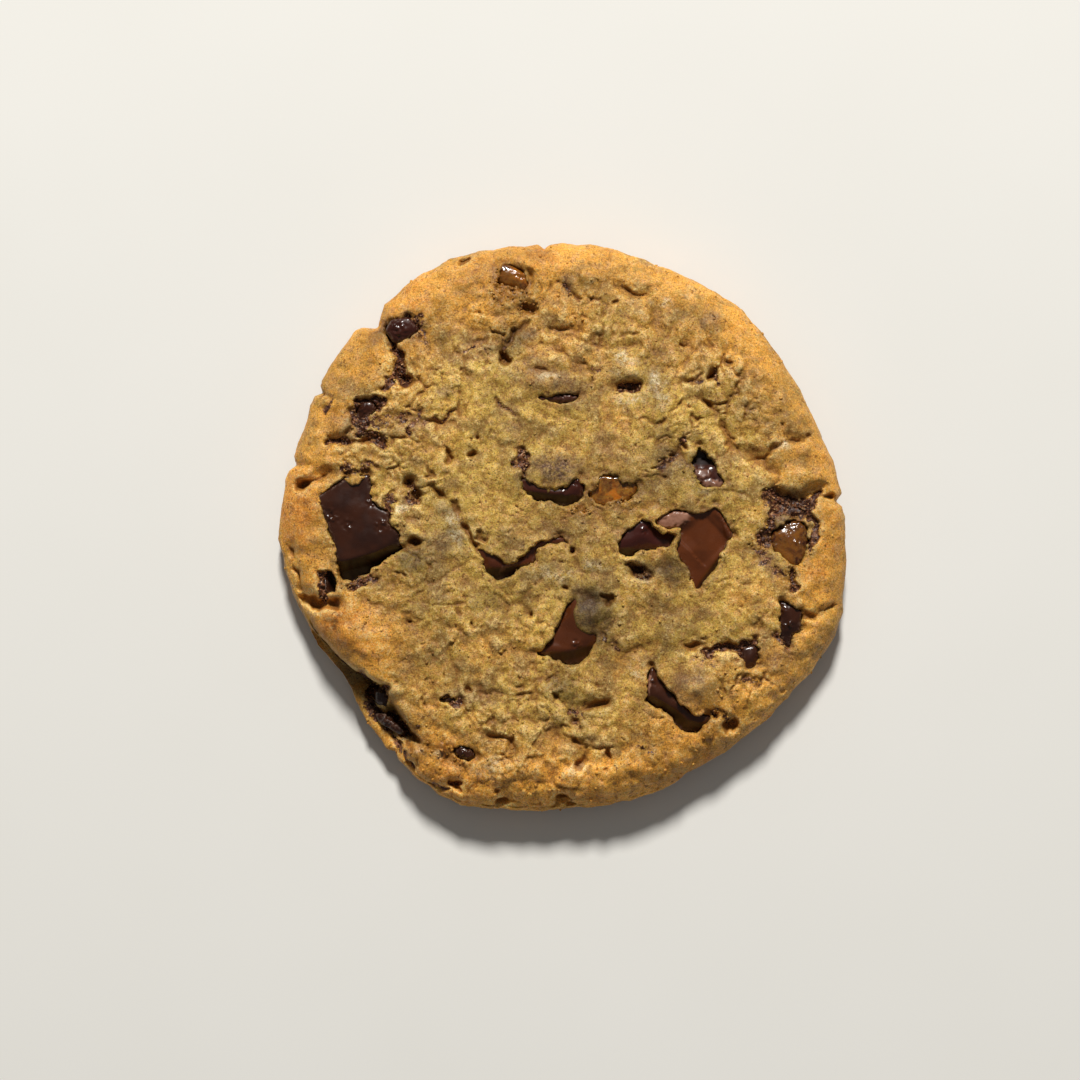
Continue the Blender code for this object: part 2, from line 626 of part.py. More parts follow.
def make_piece(name, outline, crown, thickness, material, edge):
    """A broken piece: a faceted top over upright sides and a flat underside."""
    rim = surface_points(outline)
    top = rim + surface_points(crown)
    count = len(rim)
    border = [(i, (i + 1) % count) for i in range(count)]
    _, _, top_faces, *_ = delaunay_2d_cdt([point[:2] for point in top], border, [], 1, ROUNDING_ERROR)
    floor = min(point[2] for point in rim) - thickness
    points = top + [[x, y, floor] for x, y, _ in rim]
    under = [len(top) + i for i in range(count)]
    sides = [(i, j, under[j], under[i]) for i, j in border]
    made = mesh_object(name, points, [list(face) for face in top_faces] + sides + [under], material)
    soften = made.modifiers.new("soft_edges", "BEVEL")
    soften.width = edge * MM
    soften.segments = 1
    soften.limit_method = "ANGLE"
    soften.angle_limit = math.radians(SOFTENED_ANGLE)
    shade(made)
    return floor


def make_pocket(name, outline, floor, pockets):
    """The room that a piece takes in the dough, open above it."""
    ring = grow_outline(list(outline), POCKET_GAP)
    count = len(ring)
    points = [(*place, floor - POCKET_GAP) for place in ring] + [(*place, POCKET_TOP) for place in ring]
    sides = [(i, (i + 1) % count, count + (i + 1) % count, count + i) for i in range(count)]
    caps = [list(range(count)), list(range(count, 2 * count))]
    pocket = mesh_object(name, points, sides + caps, None)
    pocket.hide_render = True
    pocket.display_type = "WIRE"
    bpy.context.scene.collection.objects.unlink(pocket)
    pockets.objects.link(pocket)


def make_pieces(chocolate, caramel, pockets):
    for name, piece in PIECES.items():
        is_caramel = name.startswith("caramel")
        floor = make_piece(
            name,
            list(piece["outline"]),
            list(piece["crown"]),
            piece["thickness"],
            caramel if is_caramel else chocolate,
            CARAMEL_EDGE if is_caramel else CHUNK_EDGE,
        )
        make_pocket(name + "_pocket", piece["outline"], floor, pockets)


def cut_pockets(dough, pockets):
    cut = dough.modifiers.new("pockets", "BOOLEAN")
    cut.operation = "DIFFERENCE"
    cut.operand_type = "COLLECTION"
    cut.collection = pockets
    cut.solver = "EXACT"


def main():
    clear_scene()
    pockets = bpy.data.collections.new("pockets")
    bpy.context.scene.collection.children.link(pockets)
    dough = make_dough(dough_material())
    make_pieces(chocolate_material(), caramel_material(), pockets)
    cut_pockets(dough, pockets)


main()
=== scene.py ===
import math

import bmesh
import bpy
import numpy as np
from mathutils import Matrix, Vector, noise
from mathutils.bvhtree import BVHTree


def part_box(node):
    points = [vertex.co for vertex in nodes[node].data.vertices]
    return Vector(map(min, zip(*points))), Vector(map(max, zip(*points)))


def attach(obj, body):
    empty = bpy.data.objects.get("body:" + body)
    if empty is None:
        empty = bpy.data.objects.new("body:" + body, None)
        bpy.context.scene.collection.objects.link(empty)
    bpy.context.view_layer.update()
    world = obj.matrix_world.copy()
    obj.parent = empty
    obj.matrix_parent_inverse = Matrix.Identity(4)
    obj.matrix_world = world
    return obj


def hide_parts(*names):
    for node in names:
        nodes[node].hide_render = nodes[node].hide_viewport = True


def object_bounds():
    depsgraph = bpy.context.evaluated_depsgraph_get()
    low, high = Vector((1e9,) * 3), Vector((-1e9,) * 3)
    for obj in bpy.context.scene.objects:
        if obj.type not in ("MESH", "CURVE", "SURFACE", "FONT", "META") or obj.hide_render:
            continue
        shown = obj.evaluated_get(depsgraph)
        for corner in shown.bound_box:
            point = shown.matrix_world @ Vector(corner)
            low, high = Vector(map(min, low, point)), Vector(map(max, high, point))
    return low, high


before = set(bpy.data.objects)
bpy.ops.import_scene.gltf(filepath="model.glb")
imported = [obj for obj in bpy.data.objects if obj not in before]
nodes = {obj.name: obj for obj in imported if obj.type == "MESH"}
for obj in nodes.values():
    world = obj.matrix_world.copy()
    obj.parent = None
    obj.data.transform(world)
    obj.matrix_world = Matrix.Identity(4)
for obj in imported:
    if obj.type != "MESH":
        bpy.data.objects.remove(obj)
cadLow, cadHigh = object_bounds()
scene = bpy.context.scene
scene.view_settings.view_transform = "Standard"
print("frame loaded:", len(nodes), "nodes")

# Places are in millimetres from the centre of the base; mm turns them into metres.
mm = 0.001
halfWidth = (cadHigh.x - cadLow.x) / 2 / mm
farAbove, farBeside = 60.0, 40.0  # where rays start

# ---- maps: square grids of numbers laid over the cookie, as seen from above

mapStep = 0.17
mapReach = 57.0
mapSide = np.arange(-mapReach, mapReach + mapStep, mapStep)
mapX, mapY = np.meshgrid(mapSide, mapSide)


def sample(values, x, y):
    col = np.clip((x + mapReach) / mapStep, 0, len(mapSide) - 1.001)
    row = np.clip((y + mapReach) / mapStep, 0, len(mapSide) - 1.001)
    c, r = col.astype(int), row.astype(int)
    fc, fr = col - c, row - r
    low = values[r, c] * (1 - fc) + values[r, c + 1] * fc
    high = values[r + 1, c] * (1 - fc) + values[r + 1, c + 1] * fc
    return low * (1 - fr) + high * fr


def step(low, high, value):
    share = np.clip((value - low) / (high - low), 0, 1)
    return share * share * (3 - 2 * share)


def noiseMap(size, seed):
    # random numbers on a coarse lattice, joined by cubic splines: bumps of about the given size, -1 to 1
    place = (mapSide + mapReach) / size + 1.5
    base = np.floor(place).astype(int)
    f = place - base
    weights = np.zeros((len(mapSide), base.max() + 4))
    rows = np.arange(len(mapSide))
    weights[rows, base - 1] = (1 - f) ** 3 / 6
    weights[rows, base] = (3 * f**3 - 6 * f**2 + 4) / 6
    weights[rows, base + 1] = (-3 * f**3 + 3 * f**2 + 3 * f + 1) / 6
    weights[rows, base + 2] = f**3 / 6
    lattice = np.random.default_rng(seed).uniform(-1, 1, (weights.shape[1], weights.shape[1]))
    return 1.9 * weights @ lattice @ weights.T


def cellMap(size, seed, bend):
    # distance to the nearest scattered spot, how much nearer it is than the next one, and that spot's luck
    rng = np.random.default_rng(seed)
    count = int(2 * mapReach / size) + 10
    spots = rng.uniform(0.08, 0.92, (count, count, 2))
    luck = rng.uniform(0, 1, (count, count))

    def bent(along, wave):
        # a place counted in cells, pushed about by two sizes of noise
        wobble = noiseMap(size, wave) + 0.35 * noiseMap(size * 0.3, wave + 2)
        return (along + mapReach + bend * wobble) / size + 4

    x, y = bent(raggedX, seed + 1), bent(raggedY, seed + 2)
    baseX, baseY = np.floor(x).astype(int), np.floor(y).astype(int)
    first = np.full(x.shape, 9.0)
    second = np.full(x.shape, 9.0)
    chance = np.zeros(x.shape)
    for dy in (-1, 0, 1):
        for dx in (-1, 0, 1):
            spot = spots[baseY + dy, baseX + dx]
            away = np.hypot(baseX + dx + spot[..., 0] - x, baseY + dy + spot[..., 1] - y)
            closer = away < first
            second = np.where(closer, first, np.minimum(second, away))
            chance = np.where(closer, luck[baseY + dy, baseX + dx], chance)
            first = np.where(closer, away, first)
    return first * size, (second - first) * size, chance


def blur(values, size):
    spread = np.exp(-((mapSide[:, None] - mapSide[None, :]) ** 2) / (2 * size * size))
    spread /= spread.sum(1, keepdims=True)
    return spread @ values @ spread.T


def distanceFrom(mask, most):
    # steps outwards from the mask, over the eight neighbours, up to the distance named
    away = np.where(mask, 0.0, 1e3)
    for _ in range(int(most / mapStep) + 1):
        for dx, dy in ((1, 0), (-1, 0), (0, 1), (0, -1), (1, 1), (1, -1), (-1, 1), (-1, -1)):
            moved = np.roll(away, (dy, dx), (0, 1)) + math.hypot(dx, dy) * mapStep
            away = np.minimum(away, moved)
    return away


def lineDistance(points, x, y):
    nearest = np.full(x.shape, 1e3)
    for (ax, ay), (bx, by) in zip(points, points[1:]):
        dx, dy = bx - ax, by - ay
        along = np.clip(((x - ax) * dx + (y - ay) * dy) / (dx * dx + dy * dy), 0, 1)
        nearest = np.minimum(nearest, np.hypot(x - ax - along * dx, y - ay - along * dy))
    return nearest


def ovalDistance(x, y, cx, cy, length, width, turn):
    # 0 in the middle of the oval, 1 on it
    c, s = math.cos(math.radians(turn)), math.sin(math.radians(turn))
    along, across = (x - cx) * c + (y - cy) * s, (y - cy) * c - (x - cx) * s
    return np.hypot(along / length, across / width)


def patches(table, low, high, x, y):
    # how strongly the ovals of a table cover each place: fully up to the low share, not at all past the high
    found = np.zeros(np.shape(x))
    for cx, cy, length, width, turn, strength in table:
        away = ovalDistance(x, y, cx, cy, length, width, turn)
        found = np.maximum(found, strength * (1 - step(low, high, away)))
    return found


# places with ragged noise added, so that edges drawn on them are uneven
raggedX = mapX + 0.5 * noiseMap(2.3, 31) + 0.34 * noiseMap(0.9, 33) + 0.18 * noiseMap(0.45, 35)
raggedY = mapY + 0.5 * noiseMap(2.3, 32) + 0.34 * noiseMap(0.9, 34) + 0.18 * noiseMap(0.45, 36)

# ---- what the solids say: outline, crust height and where each piece lies


def meshArrays(node):
    mesh = nodes[node].data
    points = np.empty(len(mesh.vertices) * 3)
    mesh.vertices.foreach_get("co", points)
    mesh.calc_loop_triangles()
    triangles = np.empty(len(mesh.loop_triangles) * 3, int)
    mesh.loop_triangles.foreach_get("vertices", triangles)
    return points.reshape(-1, 3) / mm, triangles.reshape(-1, 3)


def treeOf(node):
    points, triangles = meshArrays(node)
    return BVHTree.FromPolygons(points.tolist(), triangles.tolist())


doughTree = treeOf("dough")
pieceNames = sorted(name for name in nodes if name != "dough")


def heightsBelow(tree, x, y):
    down = Vector((0, 0, -1))
    found = np.full(x.size, np.nan)
    for i, (a, b) in enumerate(zip(x.ravel().tolist(), y.ravel().tolist())):
        hit = tree.ray_cast((a, b, farAbove), down)[0]
        if hit is not None:
            found[i] = hit.z
    return found.reshape(x.shape)


def castIn(centre, direction):
    # where a ray from outside towards the centre meets the dough
    return doughTree.ray_cast(centre + direction * farBeside, -direction)[0]


waistHeights = (3.0, 3.7, 4.4)  # where the dough is widest


def outlineReader(count):
    # radius of the widest line of the dough in each of many directions
    radii = []
    for i in range(count):
        angle = 2 * math.pi * i / count
        ray = Vector((math.cos(angle), math.sin(angle), 0))
        hits = (castIn(Vector((0, 0, z)), ray * 1.6) for z in waistHeights)
        radii.append(max(hit.to_2d().length for hit in hits if hit is not None))
    return np.array(radii)


outline = outlineReader(1440)


def radiusAt(direction):
    place = (direction / (2 * math.pi)) % 1.0 * len(outline)
    low = place.astype(int) % len(outline)
    share = place - np.floor(place)
    return outline[low] * (1 - share) + outline[(low + 1) % len(outline)] * share


def readPieces():
    top = np.full(mapX.shape, np.nan)
    for name in pieceNames:
        low, high = (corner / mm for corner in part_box(name))
        cols = np.where((mapSide > low.x - 0.3) & (mapSide < high.x + 0.3))[0]
        rows = np.where((mapSide > low.y - 0.3) & (mapSide < high.y + 0.3))[0]
        window = np.ix_(rows, cols)
        found = heightsBelow(treeOf(name), mapX[window], mapY[window])
        top[window] = np.where(np.isnan(found), top[window], found)
    return top


def readCrust(pieceMask):
    # the dough's height where it shows, carried on smoothly over each pocket
    coarse = slice(None, None, 2)
    found = heightsBelow(doughTree, mapX[coarse, coarse], mapY[coarse, coarse])
    whole = np.repeat(np.repeat(found, 2, 0), 2, 1)[: len(mapSide), : len(mapSide)]
    known = ~np.isnan(whole) & (distanceFrom(pieceMask, 0.6) > 0.5)
    filled = np.where(known, whole, 0.0)
    crust = np.zeros(mapX.shape)
    settled = np.zeros(mapX.shape)
    for size in (0.5, 1.2, 3.0, 9.0, 30.0):
        weight = blur(known.astype(float), size)
        value = blur(filled, size) / np.maximum(weight, 1e-9)
        share = (1 - settled) * step(0.1, 0.5, weight)
        crust += share * value
        settled += share
    return blur(np.where(known, whole, crust + (1 - settled) * value), 0.32)


# flat faces on the pieces: right of the line the piece falls away: from, to, slope, most, painted shade on
# the fallen face
facets = (
    ((-37.5, -6), (-25.3, -2.8), 1.5, 2.6, 1),
    ((22.6, 2.2), (26.3, -1.7), 0.8, 0.45, 0),
    ((19.9, -10.8), (26.8, -1.3), 0.9, 1.2, 0.8),
    ((8, -3.4), (15, -3.2), 0.8, 1.2, 0.8),
    ((-13.3, -6.6), (-3, -5.6), 1, 1.4, 0.9),
    ((-5, -20.6), (6, -18.2), 0.5, 0.8, 0.6),
    ((12.6, -26.6), (16.5, -28), 1.2, 1.8, 0.9),
    ((16.5, -28), (19.5, -30.2), 1.2, 1.8, 0.9),
    ((19.5, -30.2), (23, -31.4), 1.2, 1.8, 0.9),
    ((-8, 6), (3, 4.9), 1, 1.2, 0.8),
    ((25.8, 9.5), (19.5, 9.9), 1.4, 1.8, 1),
)


def facetDrop(x, y):
    # how far each place falls, and how much painted shade it gets there
    drop, shadow = np.zeros(np.shape(x)), np.zeros(np.shape(x))
    for (ax, ay), (bx, by), slope, most, darkness in facets:
        length = math.hypot(bx - ax, by - ay)
        dx, dy = (bx - ax) / length, (by - ay) / length
        along = (x - ax) * dx + (y - ay) * dy
        past = (x - ax) * dy - (y - ay) * dx
        beside = step(-1.2, 0.2, along) * step(-1.2, 0.2, length - along)
        fall = slope * 0.5 * (past + np.hypot(past, 0.25))
        reach = beside * (past > -1.5) * (past < 6)
        drop = np.maximum(drop, np.minimum(fall, most) * reach)
        shadow = np.maximum(shadow, darkness * step(-0.1, 0.35, past) * reach)
    return drop, shadow


pieceTop = readPieces()
pieceMask = ~np.isnan(pieceTop)
pieceTop -= facetDrop(mapX, mapY)[0]
crust = readCrust(pieceMask)
insidePiece = distanceFrom(~pieceMask, 2.6)
outsidePiece = distanceFrom(pieceMask, 2.6)
pieceTop = np.where(pieceMask, pieceTop, 0.0)
near = blur(pieceMask.astype(float), 0.35)
pieceTop = np.where(pieceMask, pieceTop, blur(pieceTop, 0.35) / np.maximum(near, 1e-6))
print("solids read: crust up to", round(float(crust.max()), 2), "mm")

# ---- dough

dough = {
    "cells": 500,  # grid lines across the crust before it is thinned
    "triangles": 188000,
    "topShare": 0.94,  # beyond this share of the radius the mesh turns down the side
    "sideLength": 12.5,  # from there down to the base, laid flat
    "focusHeight": 3.0,  # the rays to the side come from this height
    "lumpHeight": 0.12,
    "clodHeight": 0.6,  # big broken lumps
    "knobHeight": 0.27,  # knobs on the lumps
    "crumbHeight": 0.13,  # crumbs on the knobs
    "grainHeight": 0.035,
    "creaseDepth": 0.44,
    "poreDepth": 0.4,
    "rubbleHeight": 0.45,
    "lipHeight": 0.25,
}

# fine cracks: width, depth and course
cracks = (
    (0.8, 1.5, ((22.7, 20), (23.7, 17.8), (24.7, 16.5), (25.5, 14.5), (27, 12.5), (28, 11.7), (31.8, 10.3))),
    (0.9, 1.4, ((31.8, 10.3), (32.7, 9), (33.8, 8), (33.5, 6))),
    (1.2, 2, ((34.5, 4.4), (37, 3.7), (39, 4.6), (41, 5.7), (42.2, 4.8))),
    (0.7, 1, ((34, 15.7), (36, 13.7), (38.7, 14.2))),
    (0.6, 0.8, ((36, 13.5), (32.5, 12), (32, 10.5))),
    (0.6, 1.1, ((38, -14), (40.5, -14.2), (41, -13.2), (43.5, -12.4))),
    (1, 1.6, ((19, -18.8), (20, -19.3), (24, -18.7), (28, -19))),
    (0.8, 1.2, ((28, -19), (30.5, -17.3), (31, -16))),
    (1.3, 2.2, ((-41, -11.2), (-39, -12.2), (-36, -12.2))),
    (0.6, 0.9, ((-43.5, -3), (-42.7, -7), (-41.5, -10))),
    (1.6, 2.2, ((-27.5, 29), (-26.5, 27.5), (-26.3, 26), (-26, 24.5), (-25, 23.2))),
    (0.7, 1.2, ((-27, 22.8), (-29, 22))),
    (0.9, 1.3, ((-33, 15.5), (-34.5, 14), (-37, 13.7))),
    (1.1, 1.5, ((-34, 13), (-31, 14), (-28.5, 13.5), (-28.4, 12.6))),
    (1.3, 2.2, ((-41, 6.5), (-39.4, 7.2), (-37.5, 7.9))),
    (0.5, 0.7, ((-1, 28), (1, 27), (3, 25.5))),
    (0.5, 0.7, ((-4.5, 25), (-1, 24.7), (4, 24.5))),
    (1.3, 1.6, ((3.2, 25.6), (4, 24.4), (5.5, 24.2))),
    (0.8, 1.6, ((-20.5, 6), (-18, 4), (-16, 1), (-14.5, -1.5), (-14, -3))),
    (0.5, 0.8, ((8.3, 38), (11, 36.5), (13.5, 37))),
    (0.5, 0.8, ((-2, 31), (0, 31.5), (3, 30.8))),
    (0.5, 0.7, ((6, 28.6), (8.5, 28.3), (11.5, 28.5))),
    (0.4, 0.6, ((9, 29.5), (11.5, 31))),
    (0.6, 1, ((-5.8, 33), (-7, 31.6), (-8, 30), (-10, 28.3))),
    (0.5, 0.8, ((-14.6, 33.6), (-12, 33.4), (-9.6, 32.6))),
    (0.5, 0.8, ((-13.6, 32), (-11.6, 30.6), (-9.8, 30.2))),
    (0.5, 0.8, ((-20, 16.3), (-18, 17.7), (-15.5, 18))),
    (0.8, 1.3, ((-13, -32.5), (-8.3, -34))),
    (1, 1.5, ((-1, -26.8), (1, -28), (3, -28.3), (7, -27.6))),
    (0.8, 1.1, ((-13, -26.3), (-10, -26.2), (-5, -26.5))),
    (0.8, 1.3, ((1.5, -34), (3.5, -34.5), (3, -36.5), (2.3, -38.2))),
    (0.6, 0.9, ((10, -20), (12.4, -19), (14.5, -18.8))),
    (0.6, 0.8, ((12.5, 8), (15, 7.5))),
    (0.5, 0.8, ((-3.5, 36.9), (-2.5, 36.3))),
    (0.4, 0.7, ((-0.3, 33.5), (1.7, 33.5))),
    (0.6, 1, ((-26, -20.8), (-24.5, -20.2))),
    (0.6, 1, ((-19, -10.9), (-17, -10.2))),
)

# pits and holes: x, y, half length, half width, turn, depth
pits = (
    (23.4, 23.8, 0.8, 1.1, 0, 2), (20.5, 23, 1.5, 0.5, 0, 0.9), (-5.6, 34.2, 1.4, 0.8, -20, 0.8),
    (-9.4, 26.5, 1.2, 0.9, -40, 2), (-8.1, 30.1, 0.5, 0.7, -30, 1.3), (-12.6, 28.9, 1.1, 0.5, 20, 0.9),
    (-16, 24.4, 0.9, 0.4, 60, 0.8), (-16, 42.1, 1.2, 0.5, 20, 1.4), (-17.8, 10.8, 0.5, 1.2, -15, 1.3),
    (-14.2, 11.2, 0.6, 0.6, 0, 1.3), (-13.4, 13.7, 0.4, 0.4, 0, 1), (19.2, 29.3, 0.5, 0.4, 0, 1),
    (26, 26, 0.5, 0.4, 0, 1), (8, 35.2, 0.7, 0.4, 0, 0.8), (-24.7, 7.2, 0.9, 0.8, 0, 1.6),
    (-23.3, 5.2, 0.8, 0.9, 0, 1.6), (-23.5, -2.7, 0.7, 0.9, -30, 2), (-24.5, -14.8, 0.6, 0.5, 0, 1.3),
    (-14.2, -14.9, 0.4, 0.5, 0, 1), (-5.7, -13.7, 0.4, 0.5, 0, 1), (0.6, -9.4, 0.4, 0.4, 0, 1.2),
    (1.7, -4.1, 0.5, 0.4, 0, 1.2), (11.2, -6.2, 1.3, 0.8, -10, 1.8), (12.6, -7.6, 0.9, 0.7, -20, 1),
    (7.2, -11.4, 0.9, 1.1, 30, 1.5), (-12.7, -1, 1, 0.9, 0, 1.1), (-15.2, -25.5, 0.6, 0.6, 0, 1.2),
    (6.9, -36.2, 0.5, 0.8, 10, 1.2), (6.9, -38.1, 0.6, 0.4, 0, 1), (26.5, -31.5, 1, 0.9, 0, 1.6),
    (-23.7, -33.7, 1.2, 0.7, -30, 1.8), (-26.6, -34.8, 0.9, 0.6, -40, 1.6),
    (-24.5, -38, 0.8, 0.7, 0, 1.4), (-17.2, -40.8, 1, 0.6, -20, 1.6), (-9.5, -43.6, 1.3, 0.6, 0, 1.8),
    (-10.3, -41.8, 0.7, 0.5, 0, 1.2), (-0.5, -43.4, 1, 0.7, 0, 1.6), (1.5, -44.6, 0.7, 0.4, 0, 1.2),
    (18.9, 12.8, 0.6, 0.4, -50, 1.3), (17, 11.1, 0.7, 0.4, -50, 1.3), (15, 9.5, 0.4, 0.4, 0, 1),
    (1.8, -29.8, 1, 0.8, 0, 1), (-6.8, 11.2, 0.9, 0.35, 60, 0.8), (-7, 9.5, 0.8, 0.35, 40, 0.8),
    (-7.8, 30.2, 0.5, 0.4, 0, 1.2), (-39.3, 22, 0.6, 0.5, 0, 1.2), (36.4, -8, 0.4, 1.2, 0, 1.2),
)


# torn places where chocolate seeps through: width, depth, how much chocolate, and their course
seeps = (
    (1.2, 1.2, 1, ((-27.5, 30.2), (-26.7, 28.1), (-26.3, 26.6), (-26, 24.5), (-24.8, 23.3))),
    (1.9, 0.5, 0.7, ((-26.6, 31.4), (-24.2, 32))),
    (1, 0.3, 0.45, ((-22.8, 31.2), (-22.2, 29.4))),
    (0.8, 0.8, 0.9, ((-26, 24.2), (-27.8, 22.7), (-28.7, 22.1))),
    (0.9, 1.1, 1, ((-32.6, 19.7), (-30.5, 19.4), (-28.4, 19.7))),
    (1.8, 0.9, 0.9, ((-32, 17.6), (-32.3, 15.8))),
    (0.8, 0.8, 0.8, ((-34.1, 14), (-36.5, 13.7))),
    (1, 0.8, 0.8, ((-31.1, 15.2), (-28.4, 13.1))),
    (1.6, 0.4, 0.5, ((-29.5, 16.6), (-26, 17.4), (-22.8, 16.8))),
    (0.7, 0.8, 0.9, ((-24.8, 15.7), (-24.6, 15.2))),
    (0.9, 0.5, 0.6, ((-35, 9.3), (-30.5, 9.2))),
    (0.5, 0.2, 0.7, ((-37.7, 19.7), (-38, 18.2))),
    (0.45, 0.6, 0.6, ((-23, 16.4), (-19, 17.3), (-17, 18.5))),
    (1.1, 0.6, 0.75, ((-29.2, -1), (-28.2, 2.5), (-27.6, 4.5))),
    (1.3, 0.6, 0.7, ((-24.2, 6.6), (-24, 4.2))),
    (1.1, 0.9, 0.9, ((-38.4, -8.6), (-37.6, -11.8))),
    (0.8, 0.6, 0.8, ((-33.6, -9.6), (-30.6, -7.9))),
    (1.5, 0.6, 0.9, ((-39.2, -18.6), (-36.6, -22), (-34.4, -25.6))),
    (1.3, 1.3, 1, ((-35.4, -22.3), (-33.3, -25.2), (-32, -28.2))),
    (1.7, 1.4, 1, ((-32.2, -24.8), (-29.2, -26.4))),
    (1.2, 0.8, 0.9, ((-31.6, -29.6), (-29.4, -30.2), (-26.8, -31.2), (-24.6, -32.2))),
    (1.2, 0.5, 0.8, ((-28.8, -33.2), (-26.9, -35.4))),
    (1.3, 0.6, 0.9, ((-33.6, -26.6), (-32.2, -29.8), (-30.4, -32.4))),
    (0.9, 0.5, 0.8, ((-19.4, -27), (-16.8, -27.8))),
    (0.7, 0.5, 0.8, ((-25.3, -36.4), (-23.8, -38.4))),
    (0.6, 0.5, 0.8, ((-21, -41.2), (-18.6, -42.1))),
    (0.8, 0.9, 0.9, ((-17.8, -40.3), (-17.2, -40.6))),
    (1.6, 0.9, 0.85, ((32.6, 5.6), (33.4, 3), (33, 0.6), (32.2, -2.4))),
    (2, 1.1, 1, ((34.8, 3.4), (36.6, 2.6), (38.2, 3.2))),
    (0.9, 1, 1, ((33.8, 4.9), (36.6, 3.8), (39.2, 4.6), (41.3, 5.5))),
    (0.6, 0.8, 1, ((38.6, 1.8), (39.5, -0.4), (39.4, -3))),
    (1.1, 0.8, 1, ((8.9, 21.9), (10.6, 21.8), (12, 22.3))),
    (0.9, 0.9, 0.9, ((36.6, -7), (36.4, -9.2))),
    (1.4, 0.3, 0.5, ((30.2, -2.8), (31.4, -5), (33.8, -7.4))),
    (1.1, 0.4, 0.7, ((33.4, -17.4), (35.6, -19.2))),
    (0.9, 1.1, 0.95, ((22.2, -19.4), (25, -19), (28, -19.6), (30.3, -17.2))),
    (1.1, 0.3, 0.45, ((20.4, -20.2), (23.4, -20.4))),
    (1.2, 0.5, 0.6, ((28.2, -24), (30.6, -24.4))),
    (0.8, 0.4, 0.6, ((23.8, -29.4), (26.3, -31.4))),
    (0.7, 0.2, 0.5, ((11.5, -34.6), (13.6, -36))),
    (0.6, 0.4, 0.6, ((19.6, 23.2), (21.8, 22.9))),
    (0.7, 0.5, 0.8, ((23.2, 24.6), (23.6, 23))),
    (0.6, 0.3, 0.6, ((-8.3, 29.8), (-9.8, 28.2), (-9.2, 26.7))),
    (0.5, 0.2, 0.55, ((-15.2, 28), (-13.2, 28.4), (-12, 27.2))),
    (0.7, 0.2, 0.7, ((0.2, 38.6), (0.8, 37))),
    (0.5, 0.4, 0.7, ((3.4, 25.4), (4.6, 24.5), (5.4, 24.2))),
    (0.7, 0.6, 0.8, ((-6.4, 12.1), (-7.3, 9.4))),
    (0.8, 0.5, 0.6, ((19, 12.9), (17.2, 11), (15.2, 9.4))),
    (0.6, 0.4, 0.7, ((-10.7, 19.8), (-8.7, 18.4))),
    (0.8, 0.3, 0.5, ((1.6, -28.6), (2.6, -30.4))),
    (0.8, 0.3, 0.5, ((7, -17.9), (8.3, -18.7))),
    (0.9, 0.6, 0.6, ((10.6, -5.8), (11.6, -7), (12.8, -8))),
)


def seepMaps():
    # how much chocolate shows in the torn places, and how far they are sunk
    x = mapX + 0.5 * noiseMap(1.5, 131) + 0.55 * noiseMap(0.7, 133)
    y = mapY + 0.5 * noiseMap(1.5, 132) + 0.55 * noiseMap(0.7, 134)
    amount, depth = np.zeros(mapX.shape), np.zeros(mapX.shape)
    for width, deep, share, course in seeps:
        inside = 1 - step(0.45, 1.15, lineDistance(course, x, y) / width)
        amount = np.maximum(amount, share * inside)
        depth = np.maximum(depth, deep * inside)
    return amount, depth


def ridgeCarve():
    # a crack is a thin line strung with wider, deeper holes
    depth = np.zeros(mapX.shape)
    beads = step(-0.35, 0.75, noiseMap(1.3, 95))
    for width, deep, course in cracks:
        away = lineDistance(course, raggedX, raggedY) / (width * (0.35 + 0.75 * beads))
        depth = np.maximum(depth, deep * (0.25 + 0.6 * beads) * (1 - step(0.1, 1.0, away)))
    frayed = 0.3 * noiseMap(0.55, 96)
    for x, y, length, width, turn, deep in pits:
        away = ovalDistance(raggedX, raggedY, x, y, length, width, turn) + frayed
        depth = np.maximum(depth, 0.8 * deep * (1 - step(0.4, 1.15, away)))
    return depth


# where the crust is a smooth skin: x, y, half length, half width, turn, strength
skins = (
    (-34.5, -17, 9, 5, -42, 0.8), (-42, 1, 4, 12, 5, 0.6), (-33, 28, 4, 9, -42, 0.5),
    (-20, 38, 9, 4.5, 25, 0.6), (10, 42, 18, 3.5, -10, 0.4), (42, 2, 4, 13, 0, 0.7),
    (31, 32, 9, 4, -45, 0.4), (36, 10, 4, 4, 0, 0.5), (-2, 9, 5, 3, 0, 0.5), (21, -25.5, 4, 3, 25, 0.5),
)


def skinMap():
    rim = 0.45 * step(0.82, 0.97, outShare + 0.03 * noiseMap(4.0, 141))
    return np.maximum(rim, patches(skins, 0.6, 1.2, raggedX, raggedY))


# low mounds of dough: x, y, half length, half width, turn, height
mounds = (
    (-0.4, 26.4, 3.4, 1.5, 8, 0.5), (37.2, 7.8, 3.8, 2.8, 0, 0.6), (21.6, -24.6, 3.6, 2.6, 25, 0.6),
)


# where the dough has broken into lumps: x, y, half length, half width, turn, strength
brokenGround = (
    (-1, -38, 24, 9, 0, 1), (4.6, -13.4, 4.6, 3.6, -75, 1), (-8, -27, 14, 5, 0, 1),
    (-8, -16, 10, 6, 0, 1), (2, 33, 16, 6, 0, 1), (22, 20, 9, 9, 0, 1), (-26, 12, 9, 8, 0, 1),
    (-24, -2, 4, 7, 0, 1), (32, -27, 7, 5, -40, 1), (-20, 24, 7, 6, 0, 1), (30, 14, 6, 5, 0, 1),
)


# ---- colour regions of the dough: x, y, half length, half width, turn, strength

